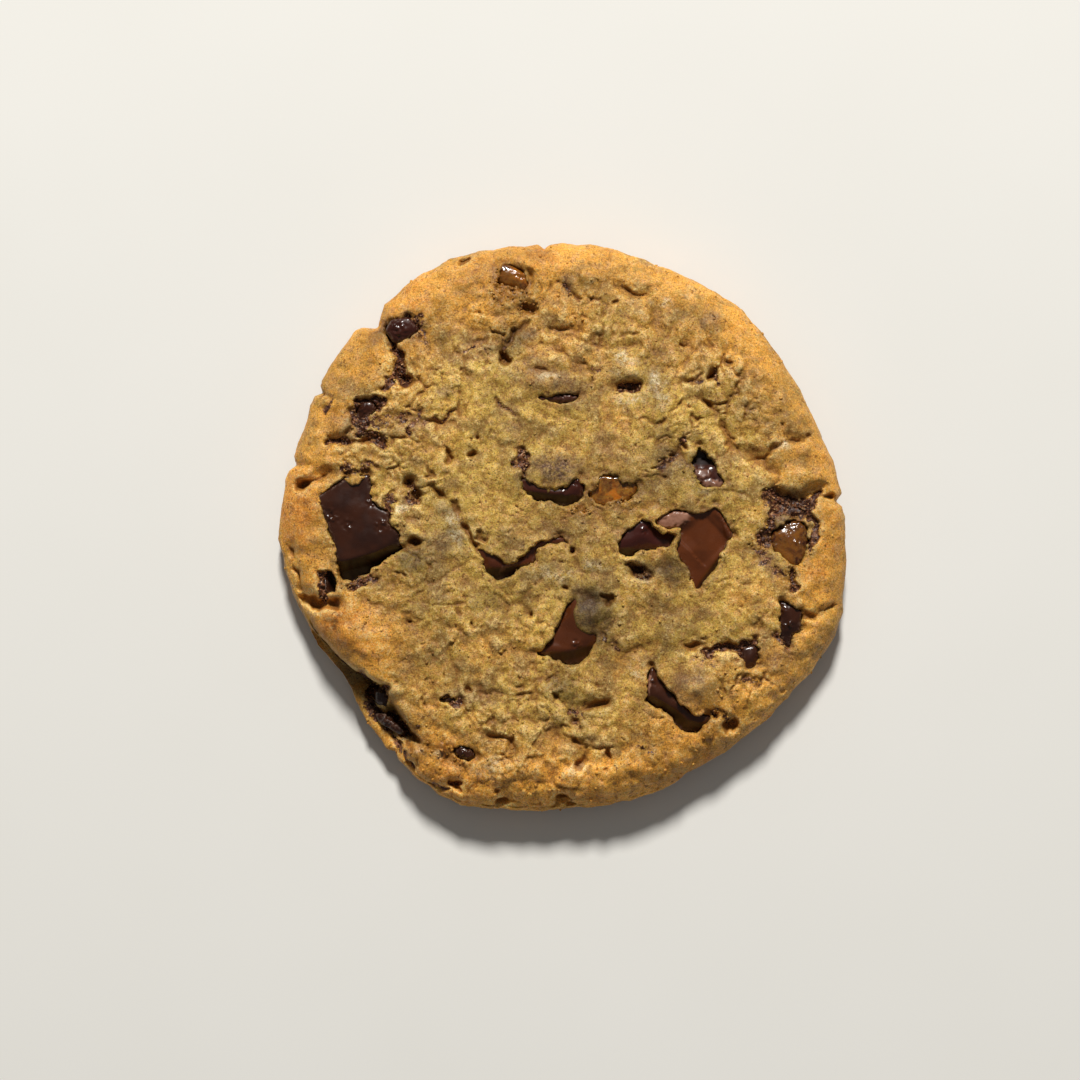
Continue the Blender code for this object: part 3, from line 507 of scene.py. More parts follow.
regions = {
    "golden": (
        (-33, -16.5, 8, 5, -42, 1), (-42, 2, 4, 14, 5, 0.5), (-19, 36, 10, 6, 25, 0.35),
        (30, 35, 10, 4, -48, 0.3), (-25, 38.5, 5, 3, 40, 0.6), (-12, 33, 5, 3.4, -20, 0.5),
        (41, 2, 4, 12, 0, 0.3), (2, -40, 26, 6, 0, 0.45), (-16, -37, 8, 4, -30, 0.5),
    ),
    "cocoa": (
        (-2, 9, 5, 3, -5, 1), (-0.5, 23, 5.6, 2.8, 2, 1), (4.7, -13.6, 4.2, 3.6, -75, 0.75),
        (4, 0, 12, 7, 0, 0.3), (8, 12, 9, 4, -15, 0.35), (0, -8, 10, 3.4, 0, 0.3),
        (-1, 25.8, 3.4, 1.2, 0, 0.5), (0.5, 37.6, 1.6, 2.6, 20, 0.8), (24, 32.5, 2, 1.6, 0, 0.7),
        (-8.5, 16, 2.2, 2.4, 0, 0.55), (17, 10, 4.6, 2.6, -35, 0.7), (-18.7, 21.3, 1.6, 1.2, 0, 0.5),
        (-33.8, 22.5, 1.4, 1.2, 0, 0.6), (-13.4, 28, 2.6, 1.4, 0, 0.7), (-6, 30.2, 2.2, 1.4, 0, 0.6),
        (-20.5, -1.5, 4.5, 5.5, 20, 0.5), (-24.5, 5.8, 2.4, 2.8, 0, 0.8), (3.6, -9.8, 4.4, 2.2, 0, 0.45),
        (-8, -1, 5, 2.4, 0, 0.35), (20, -24.6, 4.4, 3, 25, 0.6), (33, -20, 4, 4, 0, 0.5),
        (35.5, 3.4, 3.6, 2.4, 10, 0.9), (33, -6, 2.2, 2.6, 0, 0.6), (-26, 16, 5, 2.4, 0, 0.4),
        (2.5, -29.6, 2.2, 1.8, 0, 0.6), (12.5, -7, 3.2, 2.2, 0, 0.5), (-33, 16, 4, 3.4, 0, 0.5),
        (-30.8, -30.6, 4.2, 1.5, -55, 0.8), (-25.6, 31, 4.4, 3.4, 0, 0.6), (-14, -26.6, 8, 2, 0, 0.35),
    ),
    "wet": (
        (-8.6, 38.2, 3, 4, 0, 1), (-6, 34.4, 2.4, 1.8, 0, 1), (2.4, 2.7, 2.6, 1.1, 10, 0.8),
        (-19.5, -35.2, 4.4, 1.8, -20, 0.9), (-27.4, -32.4, 2.6, 3.4, -40, 0.9),
        (-24.6, -35.4, 2, 1.4, -30, 0.8), (-4.4, 43, 2.4, 1.2, 0, 0.6), (36, -8.4, 1.4, 2.6, 0, 0.7),
        (23, -33.2, 1.6, 0.9, 0, 0.8), (13.4, 41.2, 2.2, 0.9, -15, 0.5), (-29, 31.6, 1, 2.2, -35, 0.7),
        (7.6, 5.8, 4.6, 2.6, 0, 0.7), (8.6, -11.6, 1.4, 0.7, -20, 0.9), (9, 3.6, 4, 1.6, 0, 0.6),
    ),
    # glossy places, also painted pale and whitish as a painted sheen
    "glossAndPaintedSheen": (
        (9, 25.8, 3.4, 2, -15, 1), (15, 22, 2, 3, 10, 1), (10.5, 20, 2.6, 1, 0, 0.9),
        (15.4, 35.4, 1.6, 1, 0, 1), (19.6, 37, 1, 1, 0, 1), (34.6, 12.8, 1.6, 1, 10, 1),
        (-12, -38, 3, 1.6, 0, 0.6), (-21, -35.6, 2.6, 0.8, -15, 0.7), (-7.4, 38.6, 1.6, 1.2, 0, 0.5),
        (2, -38.4, 3, 1.6, 0, 0.5), (22, 4.8, 1.8, 1.2, 0, 0.6), (-2, 23.6, 1.8, 0.8, 0, 0.8),
        (-1.5, -7.5, 3, 1.6, 0, 0.7), (-17, 0, 2, 3, 0, 0.6), (4.8, -6.4, 3, 1.4, 0, 0.5),
        (-25.7, 3.2, 1.1, 0.7, 0, 1), (12.4, -8, 1.2, 0.8, 0, 0.8), (-25.4, -33.8, 1.6, 0.6, -20, 0.7),
        (12.4, -22.2, 2, 1.8, 0, 0.9),
    ),
}


def regionMap(name):
    return patches(regions[name], 0.35, 1.35, raggedX, raggedY)


def domes(size, seed, bend):
    # rounded lumps pressed together, each of its own height, and how near the seam between them is
    away, gap, luck = cellMap(size, seed, bend)
    return np.clip(1.1 - (away / (0.75 * size)) ** 2, 0, 1) * (0.5 + luck), gap


def doughRelief():
    # lumps with knobs on them and crumbs on those, seams between the lumps, and a few pores
    look = dough
    ground = patches(brokenGround, 0.6, 1.4, raggedX, raggedY)
    rim = step(0.8, 0.95, outShare) * (1 - 0.75 * ground)
    rough = (0.35 + 0.65 * ground) * (1 - 0.8 * skin) * (1 - 0.45 * rim)
    patchy = 0.5 + 0.5 * step(-0.5, 0.4, noiseMap(3.6, 53))
    lumps = 0.6 * noiseMap(3.6, 41) + 0.5 * noiseMap(1.8, 42)
    clods, clodGap = domes(5.0, 51, 2.6)
    knobs, knobGap = domes(2.2, 61, 1.3)
    crumbs, _ = domes(0.95, 65, 0.6)
    strung = 0.3 + 0.9 * step(-0.4, 0.6, noiseMap(1.1, 55))
    seams = (1 - step(0.0, 0.55, clodGap / strung)) * strung * step(-0.4, 0.5, noiseMap(5.0, 57))
    splits = (1 - step(0.0, 0.35, knobGap / strung)) * strung * step(-0.1, 0.5, noiseMap(3.1, 63))
    torn = step(-0.7, 0.5, noiseMap(4.2, 67)) * (1 - 0.8 * skin)
    away, _, luck = cellMap(1.9, 71, 0.9)
    poreSize = np.where(luck < 0.13, 0.16 + 1.3 * luck, 0.0)
    pores = (poreSize > 0) * (1 - step(0.5, 1.15, away / np.maximum(poreSize, 0.05))) * (1 - 0.5 * rim)
    rubble, _ = domes(0.8, 75, 0.3)
    grain = 0.5 * noiseMap(0.8, 81) + 0.6 * noiseMap(0.42, 82)
    raised = look["lumpHeight"] * lumps + look["grainHeight"] * grain
    raised += look["clodHeight"] * (clods - 0.6) * rough * patchy
    raised += look["knobHeight"] * (knobs - 0.6) * rough
    raised += look["crumbHeight"] * (crumbs - 0.6) * (0.35 + 0.65 * torn) * (1 - 0.7 * skin)
    raised += look["rubbleHeight"] * (rubble - 0.5) * np.maximum(seepAmount, wetness)
    for x, y, length, width, turn, height in mounds:
        raised += height * (1 - step(0.1, 1.25, ovalDistance(mapX, mapY, x, y, length, width, turn)))
    sunk = look["creaseDepth"] * np.maximum(seams, 0.6 * splits)
    sunk = sunk * np.minimum(1, 1.3 * rough) * (1 - 0.7 * rim)
    return raised, np.maximum(sunk, look["poreDepth"] * pores), torn


outShare = np.hypot(mapX, mapY) / radiusAt(np.arctan2(mapY, mapX))
carved = ridgeCarve()
seepAmount, seepDepth = seepMaps()
skin = skinMap()
wetness = regionMap("wet")
raised, sunk, torn = doughRelief()
# the solids' own crumbs are softened, but not near the rim or at the fold
softened = blur(crust, 1.5)
kept = np.maximum(step(0.78, 0.9, outShare), step(0.25, 0.6, blur(abs(crust - softened), 0.8)))
smoothCrust = softened + (crust - softened) * (0.5 + 0.5 * kept)
lip = dough["lipHeight"] * np.exp(-((outsidePiece / 1.1) ** 2)) * (0.45 + 0.55 * noiseMap(1.4, 93))
relief = raised - np.maximum(np.maximum(sunk, carved), seepDepth) + lip


# dough that laps over a piece: x, y, half length, half width, turn, height over the piece
laps = (
    (4.9, -13.4, 4.2, 3.5, -72, 0.5), (-2.1, 8.3, 3.6, 3, -12, 0.7), (-32.8, 7.6, 1.5, 1, 20, 0.5),
    (-36.4, 6.6, 2.6, 0.6, 37, 0.6), (4.6, 7.2, 1.3, 1.5, 20, 0.5), (10.6, 7.6, 1.9, 0.8, -15, 0.4),
    (8.2, 3.8, 1.3, 0.5, 10, 0.4), (-10.4, 40.6, 0.8, 2, 0, 0.4), (-5.6, 40, 0.6, 1.8, 0, 0.4),
    (21.6, 4.6, 2.1, 1.2, 12, 0.9),
)


def doughTop():
    # the crust with its relief, sunk under each piece so that the piece shows through a ragged opening
    edge = insidePiece - outsidePiece + 0.3 * noiseMap(1.2, 91) + 0.26 * noiseMap(0.5, 92)
    sink = step(0.14, 0.38, edge)
    top = smoothCrust + relief
    for x, y, length, width, turn, height in laps:
        over = 1 - step(0.76, 1.06, ovalDistance(raggedX, raggedY, x, y, length, width, turn))
        away = ovalDistance(mapX, mapY, x, y, length, width, turn)
        dome = pieceTop + height * (1 - 0.4 * away**2) + raised
        top = np.where(pieceMask, top * (1 - over) + np.maximum(top, dome) * over, top)
        sink *= 1 - over
    under = np.minimum(top, pieceTop - 1.3)
    return top * (1 - sink) + under * sink, sink


topMap, sinkMap = doughTop()
print("relief made")


def gridOverDisc(cells):
    # a square grid pulled round: how far out each point lies, and its direction
    line = np.linspace(-1, 1, cells + 1)
    u, v = np.meshgrid(line, line)
    out = np.maximum(abs(u), abs(v))
    wide = abs(u) >= abs(v)
    direction = np.where(
        wide,
        math.pi / 4 * v / np.where(u == 0, 1, u),
        math.pi / 2 - math.pi / 4 * u / np.where(v == 0, 1, v),
    )
    return out, direction + np.where(np.where(wide, u, v) < 0, math.pi, 0.0)


def pointing(compass, height):
    flat = math.cos(height)
    return Vector((flat * math.cos(compass), flat * math.sin(compass), math.sin(height)))


def doughPoints():
    out, direction = gridOverDisc(dough["cells"])
    radius = radiusAt(direction)
    sideLength, topReach = dough["sideLength"], halfWidth * dough["topShare"]
    topEnd = topReach / (topReach + sideLength)
    share = np.minimum(out / topEnd, 1) * dough["topShare"]
    x, y = share * radius * np.cos(direction), share * radius * np.sin(direction)
    z = sample(topMap, x, y)
    # past the top the mesh fans down the side from a line inside the rim; the maps are unrolled over it
    past = np.clip((out - topEnd) / (1 - topEnd), 0, 1)
    spreadX = x + np.cos(direction) * past * sideLength
    spreadY = y + np.sin(direction) * past * sideLength
    lift = np.maximum(sample(relief, spreadX, spreadY), -0.6)
    topAtRim, liftAtRim = sample(topMap, x, y), sample(relief, x, y)
    for row, col in zip(*np.where(past > 0)):
        angle = math.pi / 2 - past[row, col] * math.pi
        ray = pointing(direction[row, col], angle)
        centre = Vector((x[row, col], y[row, col], dough["focusHeight"]))
        hit = castIn(centre, ray)
        if hit is None or angle < -1.55:
            hit = Vector((centre.x, centre.y, 0.0))
        fade = min(1.0, 8 * (1 - past[row, col]))
        place = hit + ray * (lift[row, col] * fade)
        up = castIn(centre, Vector((0, 0, 1)))
        if up is not None:
            nearRim = max(0.0, 1 - 5 * past[row, col]) ** 2
            place.z += (topAtRim[row, col] - up.z - liftAtRim[row, col]) * nearRim
        x[row, col], y[row, col], z[row, col] = place.x, place.y, max(place.z, 0.0)
    # near the top nothing stands over the crust
    roof = sample(topMap, x, y) + 0.1
    z = np.where((past > 0) & (past < 0.2), np.minimum(z, roof), z)
    z = np.where(out > 1 - 1e-6, 0.0, z)
    return np.stack([x, y, z], -1), spreadX, spreadY, out


def borderOf(cells):
    ahead, back = range(cells), range(cells, 0, -1)
    sides = [(0, i) for i in ahead] + [(i, cells) for i in ahead]
    return sides + [(cells, i) for i in back] + [(i, 0) for i in back]


def setAttribute(mesh, name, values):
    layer = mesh.attributes.new(name, "FLOAT", "POINT")
    layer.data.foreach_set("value", np.ascontiguousarray(values, np.float32).ravel())


def applyAll(obj):
    # the modifiers' result as a plain mesh
    graph = bpy.context.evaluated_depsgraph_get()
    made = bpy.data.meshes.new_from_object(obj.evaluated_get(graph), depsgraph=graph)
    obj.modifiers.clear()
    old = obj.data
    obj.data = made
    bpy.data.meshes.remove(old)
    return obj


def newObject(name, mesh):
    obj = bpy.data.objects.new(name, mesh)
    scene.collection.objects.link(obj)
    return obj


# darker and lighter places, some of them stains, some painted shade in gaps, recesses and shadowed sides,
# and painted light on the lower rim: x, y, half length, half width, turn, change in brightness
stainsAndPaintedLight = (
    (-24.2, -5.4, 2, 1.6, 0, -0.45), (-18, 1.5, 1.6, 5, 24, -0.3), (-12.4, -11.6, 3, 1.7, 0, -0.28),
    (5, -13.5, 4.4, 3.6, -75, -0.6), (-19, 36.4, 6, 3, 20, -0.1), (-30.5, 30.5, 2.6, 3, -40, -0.2),
    (-30, -31.8, 4.8, 1.5, -55, -0.35), (-8.6, 37, 3, 3.4, 0, -0.12), (36.8, 7.4, 3.6, 1.6, 0, 0.16),
    (4.8, -38.2, 7, 3, 0, 0.1), (-9, 27.4, 5, 4, 0, -0.14), (-6, 18, 2.6, 2.4, 0, -0.12),
    (18, 18, 3, 2.6, 0, 0.16), (30, 12, 2.6, 2.4, 0, 0.12), (-7.8, 6.2, 2.2, 2.4, 0, -0.2),
    (23.5, 6.5, 2.6, 2.4, 0, -0.18), (-12, -8.5, 3, 4.6, 0, -0.16), (6, -6.8, 4, 2.2, 0, -0.14),
    (-0.5, -21, 3, 5, 0, -0.16), (6, -30, 3, 2.4, 0, -0.2), (-24, -33, 3, 4, 0, -0.14),
    (-6, -36, 3, 2.4, 0, -0.16), (12, -36, 3, 2.4, 0, -0.14), (-42, 12, 3, 3, 0, -0.1),
    (5, -9, 14, 12, 0, -0.06), (12, -6.8, 2.2, 1.4, 0, -0.3), (-37.6, -21.6, 8, 3.2, -57, -0.42),
    (13, 6, 5.6, 3, 0, -0.3), (0.4, 10.6, 3.4, 1.6, 0, 0.1), (36.4, -0.6, 3.8, 4.8, 0, -0.3),
    (18, -6, 3.2, 3.4, 0, -0.2), (18.4, -29.6, 3, 2, 0, -0.2), (-15, 30, 2.6, 1.6, 0, -0.12),
    (0, -25.2, 3.4, 2, -10, -0.36), (8.6, 6.6, 4.6, 2.4, 0, -0.3), (21.4, 9.6, 2.6, 3.2, 0, -0.35),
    (15, 11, 4.6, 2.8, -20, -0.2), (-6.6, 7.2, 1.8, 1.6, 0, -0.25), (16.6, -6.8, 2, 2.6, 30, -0.4),
    (12, -6.8, 3.4, 1.4, 0, -0.25), (36.2, -7.6, 1.6, 1.8, 0, -0.3), (-29.6, 30.4, 1, 2.4, -35, -0.3),
    (-9, 29.6, 3.6, 2.4, 0, -0.4), (0, 0.6, 5.4, 1.8, 0, -0.15), (6.6, -18, 1.8, 2.2, 0, -0.25),
    (24.6, -30.6, 3, 1.6, 30, -0.22), (37, 8, 3.2, 2, 0, 0.12), (-30, -12.6, 5, 1.6, 20, 0.16),
    (-17, 16, 4.6, 3.2, 0, 0.14), (8, 17.6, 6, 3, 0, 0.12), (6, -36.6, 3.4, 2.2, 0, 0.35),
    (35, -28, 4.4, 10, -38, 0.3), (-1, -42.6, 19, 3.4, 0, 0.4), (22, 29, 9, 7, -40, 0.08),
    (-2, 33, 12, 4, 0, 0.05), (31, 2, 4, 14, 0, 0.05), (26, -14, 5, 6, 0, 0.06),
)


def stainsAndPaintedLightMap():
    found = np.zeros(mapX.shape)
    for x, y, length, width, turn, change in stainsAndPaintedLight:
        away = ovalDistance(raggedX, raggedY, x, y, length, width, turn)
        found += change * (1 - step(0.4, 1.4, away))
    found += 0.13 * noiseMap(4.6, 171) + 0.1 * noiseMap(2.3, 172)
    return 1 + np.clip(found, -0.64, 0.4)


def paintMaps():
    mottled = 0.5 * noiseMap(5.5, 101) + 0.35 * noiseMap(2.2, 102) + 0.2 * noiseMap(1.0, 103)
    slow = (smoothCrust - blur(smoothCrust, 4.0)) * (1 - step(0.8, 0.9, outShare))
    high = slow + relief
    cavity = blur(high, 0.9) - high
    wide = np.clip(blur(high, 2.4) - blur(high, 0.5), 0, 0.5)
    brown = 0.16 + 0.4 * step(0.6, 0.98, outShare) + 0.22 * mottled
    brown += 0.4 * regionMap("golden") + 0.25 * step(1.02, 1.16, outShare)
    opening = (1 - step(0.0, 1.2, outsidePiece)) * (0.25 + 0.5 * noiseMap(1.3, 104))
    patchy = 0.6 + 0.5 * noiseMap(0.9, 105) + 0.3 * noiseMap(2.6, 106)
    cocoa = regionMap("cocoa") * np.clip(0.2 + patchy, 0, 1.2) + 0.4 * opening
    deep = np.maximum(sunk * 0.8, carved)
    # painted shade in hollows, seams, pores and cracks
    paintedHollowShade = 0.6 * cavity + 0.8 * wide + 0.5 * step(0.12, 0.5, sunk) + 0.4 * step(0.3, 1.6, deep)
    return {
        "brown": brown,
        "cocoa": np.clip(cocoa, 0, 1),
        "seep": seepAmount,
        "wet": np.clip(wetness * (0.8 + 0.4 * noiseMap(0.8, 107)), 0, 1),
        "glossAndPaintedSheen": np.clip(regionMap("glossAndPaintedSheen") * (0.6 + 0.8 * noiseMap(0.7, 108)), 0, 1),
        # painted light and shade from the relief: crests lighter, hollows darker
        "paintedReliefLight": np.clip(0.5 - 0.9 * cavity - 0.9 * (blur(high, 0.35) - high), 0, 1),
        "paintedHollowShade": np.clip(paintedHollowShade, 0, 1),
        "skin": skin,
        "stainAndPaintedLight": stainsAndPaintedLightMap(),
    }


paint = paintMaps()


def buildDough():
    points, spreadX, spreadY, out = doughPoints()
    cells = dough["cells"]
    across = cells + 1
    corner = (np.arange(cells)[:, None] * across + np.arange(cells)).ravel()
    quads = np.stack([corner, corner + 1, corner + across + 1, corner + across], 1)
    rim = [row * across + col for row, col in borderOf(cells)]
    mesh = bpy.data.meshes.new("doughCrust")
    mesh.from_pydata((points.reshape(-1, 3) * mm).tolist(), [], quads.tolist() + [rim[::-1]])
    for name, values in paint.items():
        setAttribute(mesh, name, sample(values, spreadX, spreadY))
    setAttribute(mesh, "foot", step(0.87, 0.93, out))
    crumbly = np.maximum(step(0.4, 0.8, seepAmount), 0.8 * step(0.3, 0.8, wetness))
    loose = 0.04 * torn + crumbly * (1 - step(0.9, 0.96, outShare))
    loose *= 1 - sinkMap
    setAttribute(mesh, "loose", sample(loose, spreadX, spreadY) * (1 - step(0.86, 0.93, out)))
    obj = newObject("doughCrust", mesh)
    thin = obj.modifiers.new("thin", "DECIMATE")
    thin.ratio = dough["triangles"] / (2 * cells * cells + 4 * cells)
    applyAll(obj)
    obj.data.shade_smooth()
    return obj


doughCrust = buildDough()
print("dough:", len(doughCrust.data.polygons), "faces")

# ---- loose crumbs baked onto the crust

crumbs = {
    "size": 0.32,
    "perSquareMetre": 1.6e6,
    "seed": 4,
    "smallest": (0.45, 0.45, 0.4),  # times the size, along each axis
    "largest": (1.35, 1.35, 1.0),
}


def crumbTree():
    # scatters little lumps where the attribute "loose" says so, each turned and sized by chance
    tree = bpy.data.node_groups.new("crumbScatter", "GeometryNodeTree")
    tree.interface.new_socket("Geometry", in_out="INPUT", socket_type="NodeSocketGeometry")
    for name in ("Crumb Size", "Crumbs per Square Metre"):
        tree.interface.new_socket(name, in_out="INPUT", socket_type="NodeSocketFloat")
    tree.interface.new_socket("Finish", in_out="INPUT", socket_type="NodeSocketMaterial")
    tree.interface.new_socket("Geometry", in_out="OUTPUT", socket_type="NodeSocketGeometry")
    add = tree.nodes.new
    given, made = add("NodeGroupInput"), add("NodeGroupOutput")
    loose = add("GeometryNodeInputNamedAttribute")
    loose.data_type = "FLOAT"
    loose.inputs["Name"].default_value = "loose"
    density = add("ShaderNodeMath")
    density.operation = "MULTIPLY"
    scatter = add("GeometryNodeDistributePointsOnFaces")
    scatter.inputs["Seed"].default_value = crumbs["seed"]
    lump = add("GeometryNodeMeshIcoSphere")
    lump.inputs["Subdivisions"].default_value = 1
    placed = add("GeometryNodeInstanceOnPoints")
    turn, size = add("FunctionNodeRandomValue"), add("FunctionNodeRandomValue")
    turn.data_type = size.data_type = "FLOAT_VECTOR"
    turn.inputs["Max"].default_value = (6.28, 6.28, 6.28)
    turn.inputs["Seed"].default_value = crumbs["seed"] + 1
    size.inputs["Min"].default_value = crumbs["smallest"]
    size.inputs["Max"].default_value = crumbs["largest"]
    size.inputs["Seed"].default_value = crumbs["seed"] + 2
    plain, smooth = add("GeometryNodeRealizeInstances"), add("GeometryNodeSetShadeSmooth")
    finish = add("GeometryNodeSetMaterial")
    for fromNode, fromSocket, toNode, toSocket in (
        (given, "Geometry", scatter, "Mesh"),
        (loose, "Attribute", density, 0),
        (given, "Crumbs per Square Metre", density, 1),
        (density, "Value", scatter, "Density"),
        (given, "Crumb Size", lump, "Radius"),
        (scatter, "Points", placed, "Points"),
        (lump, "Mesh", placed, "Instance"),
        (turn, "Value", placed, "Rotation"),
        (size, "Value", placed, "Scale"),
        (placed, "Instances", plain, "Geometry"),
        (plain, "Geometry", smooth, "Geometry"),
        (smooth, "Geometry", finish, "Geometry"),
        (given, "Finish", finish, "Material"),
        (finish, "Geometry", made, "Geometry"),
    ):
        tree.links.new(fromNode.outputs[fromSocket], toNode.inputs[toSocket])
    return tree


def buildCrumbs(finish):
    obj = newObject("doughCrumbs", doughCrust.data.copy())
    tree = crumbTree()
    scatter = obj.modifiers.new("scatter", "NODES")
    scatter.node_group = tree
    socketOf = {item.name: item.identifier for item in tree.interface.items_tree if item.in_out == "INPUT"}
    scatter[socketOf["Crumb Size"]] = crumbs["size"] * mm
    scatter[socketOf["Crumbs per Square Metre"]] = crumbs["perSquareMetre"]
    scatter[socketOf["Finish"]] = finish
    return applyAll(obj)


# ---- chocolate and caramel pieces: the solids, melted a little

chocolate = {
    "voxel": 0.2,
    "melt": 4,  # rounds of smoothing
    "waves": 0.14,  # height of the slow unevenness
    "waveSize": 3.2,
    "ripples": 0.02,
    "rippleSize": 0.9,
}
# how brown each piece of chocolate is, and how much of its second colour each piece has: maroon for
# chocolate, baked dough for caramel
warmth = {
    "chunk_right": 1.0,
    "chunk_vee": 0.8,
    "chunk_lower": 0.7,
    "chunk_smile": 0.3,
    "chunk_lower_right": 0.3,
}
secondColour = {
    "chunk_right_small": 0.9,
    "chunk_smile": 0.6,
    "chunk_vee": 0.3,
    "chunk_upper_left": 0.5,
    "chunk_top": 0.9,
    "chunk_upper_right": 0.4,
    "caramel_centre": 0.9,
    "caramel_top": 0.35,
}

# burnt patches on the caramel: x, y, half length, half width, turn, strength
burnt = (
    (34.4, 0.2, 2.2, 1, -12, 1), (38.3, -1.4, 0.7, 2.6, 0, 1), (34.8, -1.9, 0.6, 0.6, 0, 0.8),
    (33, -1.8, 0.6, 1.8, 0, 1), (37.2, -5.4, 1, 1, 0, 1), (36, 0.6, 2.6, 1.1, 0, 0.8),
    (37.6, -3.2, 0.8, 2.4, 0, 0.7), (-9.4, 41.2, 1.4, 0.8, 20, 0.7), (-6.2, 38, 0.9, 0.8, 0, 0.7),
    (7.6, 6.9, 2.8, 1.1, 0, 0.65), (5.6, 5, 0.9, 1.2, 0, 0.5),
)

# dusty plates on the pieces: x, y, half length, half width, turn, strength, height
plates = (
    (17.2, 1.2, 3, 1.1, 14, 1, 0.25), (19, -7.8, 2.8, 0.9, -66, 0.4, 0),
    (23.8, 6.8, 1.9, 0.6, -8, 0.7, 0.15), (21.8, 8.6, 1.5, 0.8, 0, 0.4, 0.2),
    (-1.2, 20.2, 3.6, 0.6, 3, 0.15, 0.5), (-8.6, -5.9, 2.4, 0.4, 35, 0.3, 0.1),
    (13.5, -24.6, 0.25, 1.9, 0, 0.9, 0.1),
)
caramelBits = {"voxel": 0.2, "melt": 9, "waves": 0.2, "waveSize": 2.2, "ripples": 0.05, "rippleSize": 0.8}

# broken, sparkling places on the pieces: x, y, radius
brokenSpots = (
    (-36.6, 1.7, 1.7), (-34.2, 0.4, 1.2), (-28.8, 0.1, 1.5), (-30.4, 4, 1.0),
    (16, 2.2, 1.4), (12.6, -0.6, 0.9), (11.6, -4, 1.0), (1.8, 7.4, 1.1), (0, 5.4, 0.8),
    (-14.1, -2.4, 0.9), (-6.3, -4.6, 0.8), (-8, -5.9, 0.7), (2, -18.4, 1.0), (14, -24.4, 0.9),
    (34.6, -12.8, 1.2), (35.4, -15.4, 1.2), (28.8, -22.4, 0.9), (23.9, 6.9, 0.9), (-26, 31, 2.0),
    (-15.8, -36, 1.9), (-31.6, 18, 1.5), (35.4, 0.7, 0.9), (37, 0.3, 0.8), (33.2, -2.4, 0.7),
    (36.8, -2.3, 0.6), (37, -5.6, 0.9),
    (-6.8, 39.7, 1.2), (10.2, 6.3, 1.0), (-28.4, -27.2, 1.2), (-28, -30.8, 1.6),
)


weldDistance = 0.00001  # metres


def meltedCopy(name, look):
    mesh = nodes[name].data.copy()
    mesh.materials.clear()
    work = bmesh.new()
    work.from_mesh(mesh)
    bmesh.ops.remove_doubles(work, verts=work.verts, dist=weldDistance)
    work.to_mesh(mesh)
    work.free()
    obj = newObject(name + "_melted", mesh)
    fine = obj.modifiers.new("fine", "REMESH")
    fine.mode = "VOXEL"
    fine.voxel_size = look["voxel"] * mm
    soft = obj.modifiers.new("soft", "SMOOTH")
    soft.factor = 0.5
    soft.iterations = look["melt"]
    return applyAll(obj)


def roughen(obj, look):
    mesh = obj.data
    count = len(mesh.vertices)
    points, normals = np.empty(count * 3), np.empty(count * 3)
    mesh.vertices.foreach_get("co", points)
    mesh.vertices.foreach_get("normal", normals)
    points, normals = points.reshape(-1, 3) / mm, normals.reshape(-1, 3)

    def bumps(size, shift):
        return np.array([noise.noise(Vector(p) / size + Vector(shift)) for p in points])

    slow = bumps(look["waveSize"], (0, 0, 0))
    quick = bumps(look["rippleSize"], (7, 3, 1))
    crumbly = bumps(0.45, (2, 9, 4))
    broken = np.zeros(count)
    for x, y, radius in brokenSpots:
        away = np.hypot(points[:, 0] - x, points[:, 1] - y) / radius
        broken = np.maximum(broken, 1 - step(0.3, 1.1, away))
    plate = np.zeros(count)
    for x, y, length, width, turn, strength, height in plates:
        frayedX, frayedY = points[:, 0] + 0.5 * quick, points[:, 1] + 0.5 * crumbly
        inside = 1 - step(0.8, 1.15, ovalDistance(frayedX, frayedY, x, y, length, width, turn))
        plate = np.maximum(plate, strength * inside)
        points[:, 2] += height * inside * (normals[:, 2] > 0.2)
    moved = look["waves"] * slow + look["ripples"] * quick + broken * (0.34 * crumbly + 0.3 * quick)
    points += normals * moved[:, None]
    low, high = points[:, 2].min(), points[:, 2].max()
    fall, shadow = facetDrop(points[:, 0], points[:, 1])
    points[:, 2] -= fall * np.clip((points[:, 2] - low) / (high - low), 0, 1)
    mesh.vertices.foreach_set("co", (points * mm).ravel())
    mesh.update()
    frayedX, frayedY = points[:, 0] + 0.6 * quick, points[:, 1] + 0.6 * crumbly
    name = obj.name.removesuffix("_melted")
    for kind, values in {
        "inside": sample(insidePiece, points[:, 0], points[:, 1]),
        "burnt": patches(burnt, 0.6, 1.2, frayedX, frayedY),
        "broken": broken,
        "plate": plate,
        # the faces that fall away carry painted shade
        "fall": shadow,
        "warmth": np.full(count, warmth.get(name, 0.1)),
        "tint": np.full(count, secondColour.get(name, 0.0)),
    }.items():
        setAttribute(mesh, kind, values)
    mesh.shade_smooth()


def buildPieces():
    made = {}
    for name in pieceNames:
        look = caramelBits if name.startswith("caramel") else chocolate
        made[name] = meltedCopy(name, look)
        roughen(made[name], look)
    return made


melted = buildPieces()
print("pieces:", sum(len(obj.data.polygons) for obj in melted.values()), "faces")

# ---- materials


